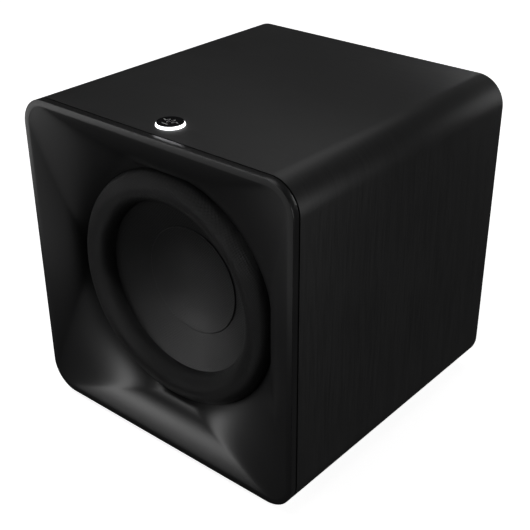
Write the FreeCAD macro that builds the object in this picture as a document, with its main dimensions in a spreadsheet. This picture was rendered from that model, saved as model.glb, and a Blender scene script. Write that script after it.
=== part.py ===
import FreeCAD, Part

# Powered subwoofer: a cube cabinet on four rubber feet with one 10-inch driver behind a flared front moulding.
#
# Millimetres. The front faces -Y, +X is on the right of someone facing the front, +Z is up. The origin is
# on the floor under the middle of the cabinet. The driver's axis is parallel to Y at half the cabinet's height.

import math
import os
import re

import Sketcher

OUT = "parts"

# Driving dimensions: (alias, value in mm, what it is).
SIZES = [
    ("cab_width", 320, "cabinet, outer width"),
    ("cab_height", 320, "cabinet, outer height without feet"),
    ("cab_depth", 320, "cabinet, outer depth with the front moulding"),
    ("foot_height", 8, "rubber foot, height"),
    ("corner_radius", 29, "cabinet, radius of the four long edges"),
    ("board_thick", 15, "cabinet boards, thickness"),
    ("vinyl_thick", 0.4, "vinyl wrap, thickness"),
    ("board_fit", 0.2, "gap round a board that slides into the cabinet"),
    ("rim_depth", 6.8, "front moulding, depth of its visible side wall"),
    ("reveal_gap", 1.6, "dark gap between the front moulding and the cabinet"),
    ("reveal_inset", 4, "how far the gap is cut in"),
    ("rim_width", 6.2, "flat rim round the flared mouth"),
    ("mouth_corner", 22.8, "corner radius of the flared mouth"),
    ("flare_depth", 28, "depth of the throat's lip"),
    ("throat_radius", 117.4, "radius of the round throat"),
    ("knee_half", 119.8, "half width at which the mouth's and the throat's tangents cross"),
    ("knee_depth", 11.1, "depth at which those tangents cross"),
    ("skin_thick", 3.5, "front moulding, wall thickness"),
    ("boss_radius", 4.5, "front moulding, screw boss radius"),
    ("boss_far", 130, "screw bosses, distance from the middle to the near side"),
    ("boss_near", 62, "screw bosses, distance from the middle along the side"),
    ("plug_inset", 15.8, "front moulding's plug, inset from the outer face"),
    ("board_front", 36.5, "depth of the driver board's front face"),
    ("driver_board", 18, "driver board, thickness"),
    ("driver_cutout", 113.5, "driver board, cut-out radius"),
    ("driver_bolts", 124, "driver screws, radius of their circle"),
    ("flange_radius", 130, "driver basket, flange radius"),
    ("flange_front", 31, "depth of the basket flange's front face"),
    ("flange_thick", 3.5, "basket flange, thickness"),
    ("roll_centre", 101.7, "surround roll, radius of its centre line"),
    ("roll_radius", 15.4, "surround roll, outer section radius"),
    ("rubber_thick", 1.2, "surround, thickness"),
    ("lip_radius", 119.9, "surround, outer lip radius"),
    ("lip_width", 7, "surround, width of the lip glued under the cone"),
    ("cone_radius", 86.2, "cone, edge radius"),
    ("cone_depth", 33, "depth of the cone's edge"),
    ("cone_slope", 0.515, "cone, depth gained per unit of radius"),
    ("cone_thick", 1.1, "cone, thickness along its axis"),
    ("glue_gap", 0.1, "glue line between the cone group and what it hangs from"),
    ("cap_radius", 53.5, "dust cap, rim radius"),
    ("cap_sink", 12, "dust cap, how far its middle lies behind its rim"),
    ("cap_thick", 0.8, "dust cap, thickness"),
    ("former_radius", 25.7, "coil former, outer radius"),
    ("former_wall", 0.3, "coil former, wall"),
    ("former_front", 62, "depth of the former's front end"),
    ("former_back", 107, "depth of the former's back end"),
    ("coil_wall", 0.8, "voice coil, winding thickness"),
    ("coil_front", 78, "depth of the winding's front end"),
    ("coil_back", 106, "depth of the winding's back end"),
    ("spider_depth", 72.6, "depth of the spider's landing"),
    ("spider_outer", 78, "spider, outer radius"),
    ("spider_thick", 0.6, "spider, thickness"),
    ("plate_front", 88, "depth of the top plate's front face"),
    ("plate_back", 96, "depth of the top plate's back face"),
    ("plate_radius", 60, "top plate and yoke, radius"),
    ("gap_outer", 27, "magnetic gap, outer radius"),
    ("pole_radius", 24.9, "pole piece, radius"),
    ("vent_radius", 8, "pole vent, radius"),
    ("magnet_radius", 66, "magnet ring, outer radius"),
    ("magnet_bore", 33, "magnet ring, inner radius"),
    ("magnet_back", 121, "depth of the magnet's back face"),
    ("yoke_back", 129, "depth of the yoke's back face"),
    ("brace_front", 0, "front face of the window brace"),
    ("brace_thick", 12, "window brace, thickness"),
    ("window_size", 200, "window in the brace, width and height"),
    ("pad_thick", 16, "wadding, thickness"),
    ("panel_width", 200, "amplifier panel, flange width"),
    ("panel_height", 240, "amplifier panel, flange height"),
    ("panel_thick", 3, "amplifier panel, flange thickness"),
    ("panel_corner", 8, "amplifier panel, corner radius"),
    ("panel_fit", 0.3, "gap round the amplifier panel in its rebate"),
    ("gasket_thick", 1, "panel gasket, thickness"),
    ("opening_width", 176, "opening in the rear board, width"),
    ("opening_height", 216, "opening in the rear board, height"),
    ("dish_width", 160, "recess in the amplifier panel, width"),
    ("dish_height", 200, "recess in the amplifier panel, height"),
    ("dish_depth", 15, "recess in the amplifier panel, depth"),
    ("dish_wall", 2.5, "recess in the amplifier panel, wall"),
    ("tray_width", 164, "amplifier tray, width"),
    ("tray_height", 204, "amplifier tray, height"),
    ("tray_depth", 72.5, "amplifier tray, depth"),
    ("sheet_metal", 1.2, "amplifier tray, sheet thickness"),
    ("circuit_thick", 1.6, "circuit boards, thickness"),
    ("standoff_length", 8, "board spacers, length"),
    ("control_gap", 10.9, "space between the control board and the panel"),
    ("screw_radius", 1.5, "small screws, shank radius"),
    ("wood_screw", 2.2, "large screws, shank radius"),
    ("screw_play", 0.2, "clearance round a screw in a hole it passes through"),
    ("knob_radius", 10, "knobs, radius"),
    ("knob_height", 11.2, "knobs, height"),
    ("shaft_radius", 3, "potentiometer shaft, radius"),
    ("shaft_play", 0.05, "running clearance round a shaft"),
    ("jack_radius", 4.15, "line socket, collar radius"),
    ("jack_length", 9, "line socket, collar length"),
    ("button_radius", 4, "pairing button, radius"),
    ("switch_height", 3.5, "pairing switch, height above its board"),
    ("moving_gap", 0.3, "clearance round a moving control"),
    ("inlet_width", 24.4, "mains inlet, cavity width"),
    ("inlet_height", 16.4, "mains inlet, cavity height"),
    ("inlet_depth", 16, "mains inlet, cavity depth"),
    ("rocker_width", 10, "power rocker, width"),
    ("badge_setback", 32, "badge, distance behind the front plane"),
    ("badge_radius", 13, "badge, light ring radius"),
    ("badge_height", 2.4, "badge, height of the light ring"),
    ("badge_cap", 0.8, "badge, thickness of the disc"),
    ("badge_sink", 8, "badge, depth of its seat in the top board"),
    ("badge_stem", 11.3, "badge, radius of the part in its seat"),
    ("foot_radius", 16, "rubber foot, radius"),
    ("foot_across", 112, "rubber feet, distance from the middle along X"),
    ("foot_along", 115, "rubber feet, distance from the middle along Y"),
    ("lead_radius", 1.5, "internal leads, radius"),
]

# Places and sizes that several sub-parts share, as expressions on the sheet.
MIDDLE = "foot_height + cab_height / 2"
FRONT = "-cab_depth / 2"
BACK = "cab_depth / 2"
INNER_WIDTH = "cab_width - 2 * vinyl_thick - 2 * board_thick"
INNER_HEIGHT = "cab_height - 2 * vinyl_thick - 2 * board_thick"
INNER_CORNER = "corner_radius - vinyl_thick - board_thick"
FLANGE_BACK = "flange_front + flange_thick"
SLEEVE_FRONT = "rim_depth + reveal_gap"
DISH_FACE = "cab_depth / 2 - dish_depth"
DISH_REAR = "cab_depth / 2 - dish_depth - dish_wall"
TRAY_FRONT = f"{DISH_REAR} - tray_depth"
BOARD_FACE = f"{TRAY_FRONT} + sheet_metal + standoff_length + circuit_thick"
CONTROL_FACE = f"{DISH_REAR} - control_gap"

# Where each control sits on the amplifier panel: across, and up from the driver's axis.
LEVEL_AT = ("46", "58")
CROSSOVER_AT = ("6", "58")
PHASE_AT = ("-40", "58")
JACKS_AT = [("50", "14"), ("26", "14")]
BUTTON_AT = ("-22", "14")
LENS_AT = ("-44", "14")
INLET_AT = ("38", "-56")
ROCKER_AT = ("-40", "-56")

LEFT_RIGHT = ("-1", "1")
PANEL_ROWS = ("-114", "-38", "38", "114")
PANEL_SCREWS = [(f"{s} * 94", z) for s in LEFT_RIGHT for z in PANEL_ROWS] + [("0", "-114"), ("0", "114")]
TRAY_SCREWS = [(f"{a} * 72", f"{b} * 91") for a in LEFT_RIGHT for b in LEFT_RIGHT]
BOARD_SCREWS = [(f"{a} * 68", z) for a in LEFT_RIGHT for z in ("-48", "88")]
BOSSES = [(f"{a} * boss_far", f"{b} * boss_near") for a in LEFT_RIGHT for b in LEFT_RIGHT]
BOSSES += [(z, x) for x, z in BOSSES]
DRIVER_SCREWS = [
    (f"driver_bolts * {math.cos(turn)}", f"driver_bolts * {math.sin(turn)}")
    for turn in (math.radians(22.5 + 45 * step) for step in range(8))
]
FEET = [(f"{a} * foot_across", f"{b} * foot_along") for a in LEFT_RIGHT for b in LEFT_RIGHT]

doc = FreeCAD.newDocument("Subwoofer")
sheet = doc.addObject("Spreadsheet::Sheet", "Sizes")
nodes = []


# ---------------------------------------------------------------- the sheet and its expressions


def fill_sheet():
    """Write the driving dimensions, one a row, and give each value its alias."""
    for row, (alias, value, meaning) in enumerate(SIZES, 1):
        sheet.set(f"A{row}", meaning)
        sheet.set(f"B{row}", str(value))
        sheet.setAlias(f"B{row}", alias)
    doc.recompute()


def cell(text):
    """The expression with each alias turned into a reference to the sheet."""
    return re.sub(r"[a-z][a-z_]*", lambda found: "Sizes." + found.group(0), text)


def number(text):
    """The expression's present value in mm."""
    value = sheet.evalExpression(cell(text))
    return float(getattr(value, "Value", value))


# ---------------------------------------------------------------- bodies and sketches


def new_body(label, x="0", y="0", z="0"):
    """A body with its origin at (x, y, z)."""
    body = doc.addObject("PartDesign::Body", label)
    body.Label = label
    for axis, text in (("x", x), ("y", y), ("z", z)):
        body.setExpression(f"Placement.Base.{axis}", cell(text))
    nodes.append(body)
    return body


def sketch_on(body, role, offset="0"):
    """A sketch on one of the body's own origin planes, moved along the plane's normal."""
    sketch = body.newObject("Sketcher::SketchObject", f"{body.Label}_sketch")
    plane = next(f for f in body.Origin.OriginFeatures if f.Role == role)
    sketch.AttachmentSupport = [(plane, "")]
    sketch.MapMode = "FlatFace"
    sketch.setExpression("AttachmentOffset.Base.z", cell(offset))
    return sketch


def upright(body, y):
    """A sketch seen from the front, standing at y. Its normal is -Y."""
    return sketch_on(body, "XZ_Plane", f"-({y})")


def level(body, z):
    """A sketch lying at z. Its normal is +Z."""
    return sketch_on(body, "XY_Plane", z)


def hold(sketch, kind, text, *where):
    """Add a dimension whose value is an expression."""
    index = sketch.addConstraint(Sketcher.Constraint(kind, *where, number(text)))
    sketch.setExpression(f"Constraints[{index}]", cell(text))


def pin_point(sketch, geometry, position, x, y):
    """Hold one point of a piece of geometry at (x, y)."""
    hold(sketch, "DistanceX", x, -1, 1, geometry, position)
    hold(sketch, "DistanceY", y, -1, 1, geometry, position)


def circle(sketch, radius, x="0", y="0"):
    """A circle of the given radius round (x, y)."""
    centre = FreeCAD.Vector(number(x), number(y), 0)
    ring = Part.Circle(centre, FreeCAD.Vector(0, 0, 1), number(radius))
    geometry = sketch.addGeometry(ring)
    pin_point(sketch, geometry, 3, x, y)
    hold(sketch, "Radius", radius, geometry)


def bend(start, end, radius, side):
    """The arc from start to end, with its centre on the left (side 1) or on the right (side -1)."""
    chord = end - start
    rise = math.sqrt(max(radius**2 - (chord.Length / 2) ** 2, 0)) * side
    left = FreeCAD.Vector(-chord.y, chord.x, 0).normalize()
    centre = (start + end) / 2 + left * rise
    first, last = (start, end) if side > 0 else (end, start)
    angles = [math.atan2(p.y - centre.y, p.x - centre.x) for p in (first, last)]
    return Part.ArcOfCircle(Part.Circle(centre, FreeCAD.Vector(0, 0, 1), radius), *angles)


def outline(sketch, points, bends=None):
    """A closed outline. bends gives (radius, side) for the sides that are arcs, by their place in the list."""
    bends = bends or {}
    spots = [FreeCAD.Vector(number(x), number(y), 0) for x, y in points]
    ends = []
    for place, start in enumerate(spots):
        end = spots[(place + 1) % len(spots)]
        if place in bends:
            radius, side = bends[place]
            geometry = sketch.addGeometry(bend(start, end, number(radius), side))
            hold(sketch, "Radius", radius, geometry)
        else:
            side = 1
            geometry = sketch.addGeometry(Part.LineSegment(start, end))
        ends.append((geometry, 1, 2) if side > 0 else (geometry, 2, 1))
    for place, (geometry, first, last) in enumerate(ends):
        following, its_first, _ = ends[(place + 1) % len(ends)]
        sketch.addConstraint(Sketcher.Constraint("Coincident", geometry, last, following, its_first))
        pin_point(sketch, geometry, first, *points[place])


def rectangle(sketch, width, height, x="0", y="0"):
    """A rectangle centred on (x, y)."""
    left, right = (f"{x} {sign} ({width}) / 2" for sign in "-+")
    low, high = (f"{y} {sign} ({height}) / 2" for sign in "-+")
    outline(sketch, [(left, low), (right, low), (right, high), (left, high)])


def rounded(sketch, width, height, radius, x="0", y="0"):
    """A rectangle with round corners, centred on (x, y)."""
    corners = []
    for quarter, (across, up) in enumerate((("+", "+"), ("-", "+"), ("-", "-"), ("+", "-"))):
        at = (
            f"{x} {across} (({width}) / 2 - ({radius}))",
            f"{y} {up} (({height}) / 2 - ({radius}))",
        )
        centre = FreeCAD.Vector(number(at[0]), number(at[1]), 0)
        ring = Part.Circle(centre, FreeCAD.Vector(0, 0, 1), number(radius))
        start = quarter * math.pi / 2
        corner = sketch.addGeometry(Part.ArcOfCircle(ring, start, start + math.pi / 2))
        pin_point(sketch, corner, 3, *at)
        hold(sketch, "Radius", radius, corner)
        corners.append(corner)
    for corner, following in zip(corners, corners[1:] + corners[:1]):
        run = Part.LineSegment(sketch.getPoint(corner, 2), sketch.getPoint(following, 1))
        side = sketch.addGeometry(run)
        sketch.addConstraint(Sketcher.Constraint("Tangent", corner, 2, side, 1))
        sketch.addConstraint(Sketcher.Constraint("Tangent", side, 2, following, 1))


# ---------------------------------------------------------------- features


def pad(sketch, length):
    """Add material from the sketch along its normal."""
    body = sketch.getParentGeoFeatureGroup()
    feature = body.newObject("PartDesign::Pad", f"{body.Label}_pad")
    feature.Profile = sketch
    feature.setExpression("Length", cell(length))
    doc.recompute()
    return feature


def cut(sketch, length, along=True):
    """Remove material from the sketch along its normal, or against it."""
    body = sketch.getParentGeoFeatureGroup()
    before = body.Shape.Volume
    feature = body.newObject("PartDesign::Pocket", f"{body.Label}_pocket")
    feature.Profile = sketch
    feature.Reversed = along
    feature.setExpression("Length", cell(length))
    doc.recompute()
    if not body.Shape.Volume < before:
        raise RuntimeError(f"{body.Label}: a pocket removes nothing")
    return feature


def turn(sketch, axis="H_Axis"):
    """Turn the sketch a full circle round one of its own axes."""
    body = sketch.getParentGeoFeatureGroup()
    feature = body.newObject("PartDesign::Revolution", f"{body.Label}_turn")
    feature.Profile = sketch
    feature.ReferenceAxis = (sketch, [axis])
    feature.Angle = 360
    doc.recompute()
    return feature


def slab(body, back, length, draw, *sizes):
    """Material that ends at y = back and reaches forwards by length, drawn by draw(sketch, *sizes)."""
    sketch = upright(body, back)
    draw(sketch, *sizes)
    return pad(sketch, length)


def recess(body, back, length, draw, *sizes):
    """A hollow that starts at y = back and reaches forwards by length."""
    sketch = upright(body, back)
    draw(sketch, *sizes)
    return cut(sketch, length)


def circles(sketch, spots, radius):
    """One circle at each spot."""
    for x, y in spots:
        circle(sketch, radius, x, y)


def driver_body(label):
    """A body on the driver's axis, whose own y is the depth behind the front plane."""
    return new_body(label, y=FRONT, z=MIDDLE)


def turned_part(label, profile, bends=None):
    """A round part of the driver, turned from its (depth, radius) profile."""
    body = driver_body(label)
    sketch = sketch_on(body, "YZ_Plane")
    outline(sketch, profile, bends)
    turn(sketch)
    return body


def ring_part(label, front, back, inner, outer):
    """A plain ring of the driver between two depths."""
    return turned_part(label, [(front, inner), (back, inner), (back, outer), (front, outer)])


def holes_through(body, back, length, spots, radius):
    """Round holes at the spots, from y = back forwards."""
    return recess(body, back, length, circles, spots, radius)


def rear_screws(body, face, spots, head_radius, head_thick, shank_radius, shank_length):
    """Screws driven from behind: heads that end at y = face, shanks pointing forwards."""
    under_head = f"{face} - {head_thick}"
    slab(body, face, head_thick, circles, spots, head_radius)
    slab(body, under_head, shank_length, circles, spots, shank_radius)
    recess(body, face, f"{head_thick} / 2", circles, spots, f"{head_radius} / 3")


# ---------------------------------------------------------------- cabinet


def make_sleeve(label, outer_inset, thick, foot_hole):
    """One layer of the cabinet's four walls, bored for the foot screws."""
    body = new_body(label, z=MIDDLE)
    sketch = upright(body, BACK)
    for inset in (outer_inset, f"{outer_inset} + {thick}"):
        sides = [f"{side} - 2 * ({inset})" for side in ("cab_width", "cab_height")]
        rounded(sketch, *sides, f"corner_radius - ({inset})")
    pad(sketch, f"cab_depth - ({SLEEVE_FRONT})")
    holes = level(body, "-cab_height / 2")
    circles(holes, FEET, "wood_screw")
    cut(holes, foot_hole)
    return body


def bore_top(body, radius, depth, behind="0"):
    """A round hole from the cabinet's top down, behind the badge's centre by the given distance."""
    sketch = level(body, "cab_height / 2")
    circle(sketch, radius, "0", f"{FRONT} + badge_setback + {behind}")
    cut(sketch, depth, along=False)


def make_cabinet():
    """Board sleeve and the vinyl round it."""
    shell = make_sleeve("cabinet_shell", "vinyl_thick", "board_thick", "13")
    bore_top(shell, "badge_stem + 0.1", "badge_sink")
    bore_top(shell, "2.5", "board_thick + 1", "7.5")
    vinyl = make_sleeve("vinyl_wrap", "0", "vinyl_thick", "1")
    bore_top(vinyl, "badge_stem + 0.1", "badge_sink")


def board_in_sleeve(label, back, thick):
    """A board that fills the cabinet's section."""
    body = new_body(label, z=MIDDLE)
    sides = [f"{side} - 2 * board_fit" for side in (INNER_WIDTH, INNER_HEIGHT)]
    slab(body, back, thick, rounded, *sides, f"{INNER_CORNER} - board_fit")
    return body


def make_driver_board():
    """Board that carries the driver and the front moulding, notched at the top for the badge's lead."""
    back = f"{FRONT} + board_front + driver_board"
    body = board_in_sleeve("driver_board", back, "driver_board")
    recess(body, back, "driver_board + 1", circle, "driver_cutout")
    holes_through(body, back, "driver_board + 1", DRIVER_SCREWS, "wood_screw")
    holes_through(body, back, "driver_board + 1", BOSSES, "wood_screw + screw_play")
    recess(body, back, "driver_board + 1", rectangle, "8", "14", "0", f"({INNER_HEIGHT}) / 2")


def make_brace():
    """Stiffening board across the middle, with a window for air and leads."""
    body = board_in_sleeve("window_brace", "brace_front + brace_thick", "brace_thick")
    recess(body, "brace_front + brace_thick", "brace_thick + 1", rounded, "window_size", "window_size", "30")


def make_rear_board():
    """Rear board with a rebated opening for the amplifier panel."""
    body = board_in_sleeve("rear_board", BACK, "board_thick")
    sides = [f"{side} + 2 * panel_fit" for side in ("panel_width", "panel_height")]
    rebate = "panel_thick + gasket_thick"
    recess(body, BACK, rebate, rounded, *sides, "panel_corner + panel_fit")
    recess(body, BACK, "board_thick + 1", rounded, "opening_width", "opening_height", "6")
    holes_through(body, f"{BACK} - ({rebate})", "board_thick", PANEL_SCREWS, "screw_radius")


def make_wadding():
    """Plain pads of wadding on the side walls and the floor of the front chamber."""
    body = new_body("wadding", z=MIDDLE)
    sketch = upright(body, "brace_front - 4")
    side_middle = f"(({INNER_WIDTH}) - pad_thick) / 2"
    low = f"-(({INNER_HEIGHT}) - pad_thick) / 2"
    for side in "-+":
        rectangle(sketch, "pad_thick", "220", f"0 {side} {side_middle}", "0")
    rectangle(sketch, "220", "pad_thick", "0", low)
    pad(sketch, "96")


def make_feet():
    """Four rubber feet, and the screws that hold them."""
    feet = new_body("rubber_feet")
    for z, length, radius in (("0", "1.5", "foot_radius - 2"), ("1.5", "foot_height - 1.5", "foot_radius")):
        layer = level(feet, z)
        circles(layer, FEET, radius)
        pad(layer, length)
    for radius, depth in (("6", "foot_height / 2"), ("wood_screw + screw_play", "foot_height")):
        hole = level(feet, "0")
        circles(hole, FEET, radius)
        cut(hole, depth)
    screws = new_body("foot_screws")
    heads = level(screws, "foot_height / 2 - 2.4")
    circles(heads, FEET, "4.6")
    pad(heads, "2.4")
    shanks = level(screws, "foot_height / 2")
    circles(shanks, FEET, "wood_screw")
    pad(shanks, "16")


# ---------------------------------------------------------------- front moulding


def flare_section(body, share, extra):
    """One section of the flare: share runs from 0 at the mouth to 1 at the throat, extra is the skin behind it."""
    ends = ((1 - share) ** 2, 2 * share * (1 - share), share**2)
    mouth = "(cab_width / 2 - rim_width)"
    half = f"{ends[0]} * {mouth} + {ends[1]} * knee_half + {ends[2]} * throat_radius + {extra}"
    depth = f"{ends[1]} * knee_depth + {ends[2]} * flare_depth + {1 - share} * {extra}"
    corner = f"{1 - share} * (mouth_corner + {extra}) + {share} * 0.985 * ({half})"
    sketch = upright(body, depth)
    rounded(sketch, f"2 * ({half})", f"2 * ({half})", corner)
    return sketch


def flare_loft(body, kind, extra):
    """The flare's volume lofted through its sections, added or removed."""
    sections = [flare_section(body, step / 6, extra) for step in range(7)]
    feature = body.newObject(f"PartDesign::{kind}", f"{body.Label}_{kind}")
    feature.Profile = sections[0]
    feature.Sections = sections[1:]
    feature.Ruled = False
    doc.recompute()
    return feature


def make_front_moulding():
    """Flared front: flat rim, side wall, plug that enters the cabinet, screw bosses and the flare's skin."""
    body = driver_body("front_flare")
    slab(body, "rim_depth", "rim_depth", rounded, "cab_width", "cab_height", "corner_radius")
    flare_loft(body, "AdditiveLoft", "skin_thick")
    neck = [f"{side} - 2 * reveal_inset" for side in ("cab_width", "cab_height")]
    plug = [f"{side} - 2 * plug_inset" for side in ("cab_width", "cab_height")]
    for back, length, sides, radius in (
        (SLEEVE_FRONT, "reveal_gap", neck, "corner_radius - reveal_inset"),
        ("board_front", "board_front - rim_depth", plug, "corner_radius - plug_inset"),
    ):
        sketch = upright(body, back)
        rounded(sketch, *sides, radius)
        bore = [f"{side} - 2 * (plug_inset + skin_thick)" for side in ("cab_width", "cab_height")]
        rounded(sketch, *bore, "corner_radius - plug_inset - skin_thick")
        pad(sketch, length)
    slab(body, "board_front", "board_front - rim_depth", circles, BOSSES, "boss_radius")
    flare_loft(body, "SubtractiveLoft", "0")
    holes_through(body, "board_front", "20", BOSSES, "wood_screw")


def make_flare_fixings():
    """Screws from inside the box into the moulding's bosses, and the foam ring behind the throat."""
    rear_screws(
        new_body("flare_screws", z=MIDDLE),
        f"{FRONT} + board_front + driver_board + 2.8",
        BOSSES,
        "4",
        "2.8",
        "wood_screw",
        "driver_board + 16",
    )
    ring_part("throat_seal", "flare_depth", "flange_front - rubber_thick", "lip_radius - 2", "lip_radius")


# ---------------------------------------------------------------- driver


def cone_front(radius):
    """Depth of the cone's front face at a radius."""
    return f"cone_depth + (cone_radius - ({radius})) * cone_slope"


def make_basket():
    """Driver basket: flange, six open sides, spider ledge and seat for the motor."""
    profile = [
        ("flange_front", "flange_radius"),
        ("flange_front", "110.5"),
        (FLANGE_BACK, "110.5"),
        ("71", "spider_outer"),
        ("spider_depth", "spider_outer + 0.2"),
        ("spider_depth", "64"),
        ("plate_front - 2.5", "58"),
        ("plate_front - 2.5", "30"),
        ("plate_front", "30"),
        ("plate_front", "plate_radius + 0.5"),
        ("spider_depth + 2.5", "66.5"),
        ("spider_depth + 2.5", "81.5"),
        ("72", "81.5"),
        (FLANGE_BACK, "driver_cutout - 0.3"),
        (FLANGE_BACK, "flange_radius"),
    ]
    body = turned_part("driver_basket", profile)
    holes_through(body, FLANGE_BACK, "flange_thick + 1", DRIVER_SCREWS, "wood_screw + screw_play")
    inner, outer = "84", "106"
    for step in range(6):
        middle = math.radians(60 * step)
        low, high = middle - math.radians(25), middle + math.radians(25)
        corners = [
            (f"{radius} * {math.cos(angle)}", f"{radius} * {math.sin(angle)}")
            for radius, angle in ((inner, low), (outer, low), (outer, high), (inner, high))
        ]
        sketch = upright(body, "spider_depth - 1")
        outline(sketch, corners, {1: (outer, 1), 3: (inner, -1)})
        cut(sketch, f"spider_depth - 1 - ({FLANGE_BACK}) - 1")
    return body


def make_surround():
    """Half-roll rubber surround, with an outer lip on the flange and an inner lip behind the cone's edge."""
    gap = "cone_thick + glue_gap"
    inner = "roll_radius - rubber_thick"
    foot = "(roll_centre - roll_radius)"
    lip_end = f"{foot} - lip_width"
    profile = [
        ("flange_front", "lip_radius"),
        ("flange_front - rubber_thick", "lip_radius"),
        ("flange_front - rubber_thick", "roll_centre + roll_radius - 0.05"),
        ("flange_front - roll_radius", "roll_centre"),
        ("flange_front", foot),
        (f"{cone_front(foot)} + {gap}", foot),
        (f"{cone_front(lip_end)} + {gap}", lip_end),
        (f"{cone_front(lip_end)} + {gap} + rubber_thick", lip_end),
        (f"{cone_front(foot)} + {gap} + rubber_thick", f"{foot} + rubber_thick"),
        ("flange_front", f"{foot} + rubber_thick"),
        (f"flange_front - ({inner})", "roll_centre"),
        ("flange_front", f"roll_centre + ({inner})"),
    ]
    bends = {2: ("roll_radius", 1), 3: ("roll_radius", 1), 9: (inner, -1), 10: (inner, -1)}
    return turned_part("surround", profile, bends)


def make_cone():
    """Cone, inverted dust cap, former and voice coil: the group that moves."""
    neck = "former_radius"
    profile = [
        (cone_front("cone_radius"), "cone_radius"),
        (cone_front(neck), neck),
        (f"{cone_front(neck)} + 5", neck),
        (f"{cone_front(neck)} + 5", f"{neck} + 1"),
        (f"{cone_front(neck)} + cone_thick", f"{neck} + 1"),
        (f"{cone_front('cone_radius')} + cone_thick", "cone_radius"),
    ]
    turned_part("cone", profile)
    rim = cone_front("cap_radius")
    bow = "(cap_radius * cap_radius + cap_sink * cap_sink) / (2 * cap_sink)"
    profile = [
        (f"{rim} - cap_thick + cap_sink", "0"),
        (f"{rim} + cap_sink", "0"),
        (rim, "cap_radius"),
        (f"{rim} - cap_thick", "cap_radius"),
    ]
    turned_part("dust_cap", profile, {1: (bow, 1), 3: (bow, -1)})
    ring_part("coil_former", "former_front", "former_back", "former_radius - former_wall", "former_radius")
    ring_part("voice_coil", "coil_front", "coil_back", "former_radius", "former_radius + coil_wall")


def make_spider():
    """Corrugated spider between the former and the basket's ledge."""
    waves, first, last, sway = 7, 29, 62, 1.3
    pitch = (last - first) / (2 * waves)
    face = [("spider_depth", "former_radius + glue_gap")]
    for step in range(2 * waves + 1):
        side = "+" if step % 2 else "-"
        face.append((f"spider_depth {side} {sway}", f"{first + step * pitch}"))
    face.append(("spider_depth", "64"))
    face.append(("spider_depth", "spider_outer"))
    front = [(f"{depth} - spider_thick", radius) for depth, radius in reversed(face)]
    return turned_part("spider", face + front)


def make_motor():
    """Top plate, magnet ring, and the yoke with its vented pole."""
    ring_part("top_plate", "plate_front", "plate_back", "gap_outer", "plate_radius")
    ring_part("magnet_ring", "plate_back", "magnet_back", "magnet_bore", "magnet_radius")
    profile = [
        ("plate_front", "vent_radius"),
        ("yoke_back", "vent_radius"),
        ("yoke_back", "plate_radius"),
        ("magnet_back", "plate_radius"),
        ("magnet_back", "pole_radius"),
        ("plate_front", "pole_radius"),
    ]
    turned_part("pole_yoke", profile)


def make_driver_fixings():
    """Foam ring behind the flange, eight screws in front of it, and the terminal block."""
    seal = ring_part("driver_seal", FLANGE_BACK, "board_front", "driver_cutout + 1", "flange_radius")
    holes_through(seal, "board_front", "3", DRIVER_SCREWS, "wood_screw + screw_play")
    screws = driver_body("driver_screws")
    length = "17"
    slab(screws, f"flange_front + {length}", length, circles, DRIVER_SCREWS, "wood_screw")
    slab(screws, "flange_front", "2.8", circles, DRIVER_SCREWS, "4")
    sockets = upright(screws, "flange_front - 2.8")
    circles(sockets, DRIVER_SCREWS, "1.6")
    cut(sockets, "1.6", along=False)
    block = driver_body("terminal_block")
    slab(block, "86", "13.5", rounded, "28", "12", "2", "0", "-81.5 - 6")


# ---------------------------------------------------------------- leads


def lead_wire(points):
    """Straight runs joined by tangent arcs, each arc as large as its two runs allow."""
    edges, start = [], points[0]
    for before, corner, after in zip(points, points[1:], points[2:]):
        incoming = (corner - before).normalize()
        outgoing = (after - corner).normalize()
        reach = 0.45 * min((corner - before).Length, (after - corner).Length)
        half_turn = incoming.getAngle(outgoing) / 2
        radius = reach / math.tan(half_turn)
        print(f"lead bend radius {radius:.1f} mm")
        begin, finish = corner - incoming * reach, corner + outgoing * reach
        middle_way = (outgoing - incoming).normalize()
        middle = corner + middle_way * (radius / math.cos(half_turn) - radius)
        edges.append(Part.LineSegment(start, begin).toShape())
        edges.append(Part.Arc(begin, middle, finish).toShape())
        start = finish
    edges.append(Part.LineSegment(start, points[-1]).toShape())
    return Part.Wire(edges)


def lead_tube(points, radius):
    """A round tube along the route, its volume checked against its section times its length."""
    path = lead_wire(points)
    section = Part.Wire(Part.makeCircle(radius, points[0], points[1] - points[0]))
    tube = path.makePipeShell([section], True, False)
    expected = math.pi * radius**2 * path.Length
    if abs(tube.Volume - expected) > 0.01 * expected:
        raise RuntimeError("a lead's tube has the wrong volume")
    return tube


def lead_part(label, routes, radius):
    """One node holding a tube along each route."""
    part = doc.addObject("Part::Feature", label)
    part.Label = label
    part.Shape = Part.makeCompound([lead_tube(route, radius) for route in routes])
    part.Placement = FreeCAD.Placement(FreeCAD.Vector(0, 0, number(MIDDLE)), FreeCAD.Rotation())
    nodes.append(part)
    return part


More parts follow.
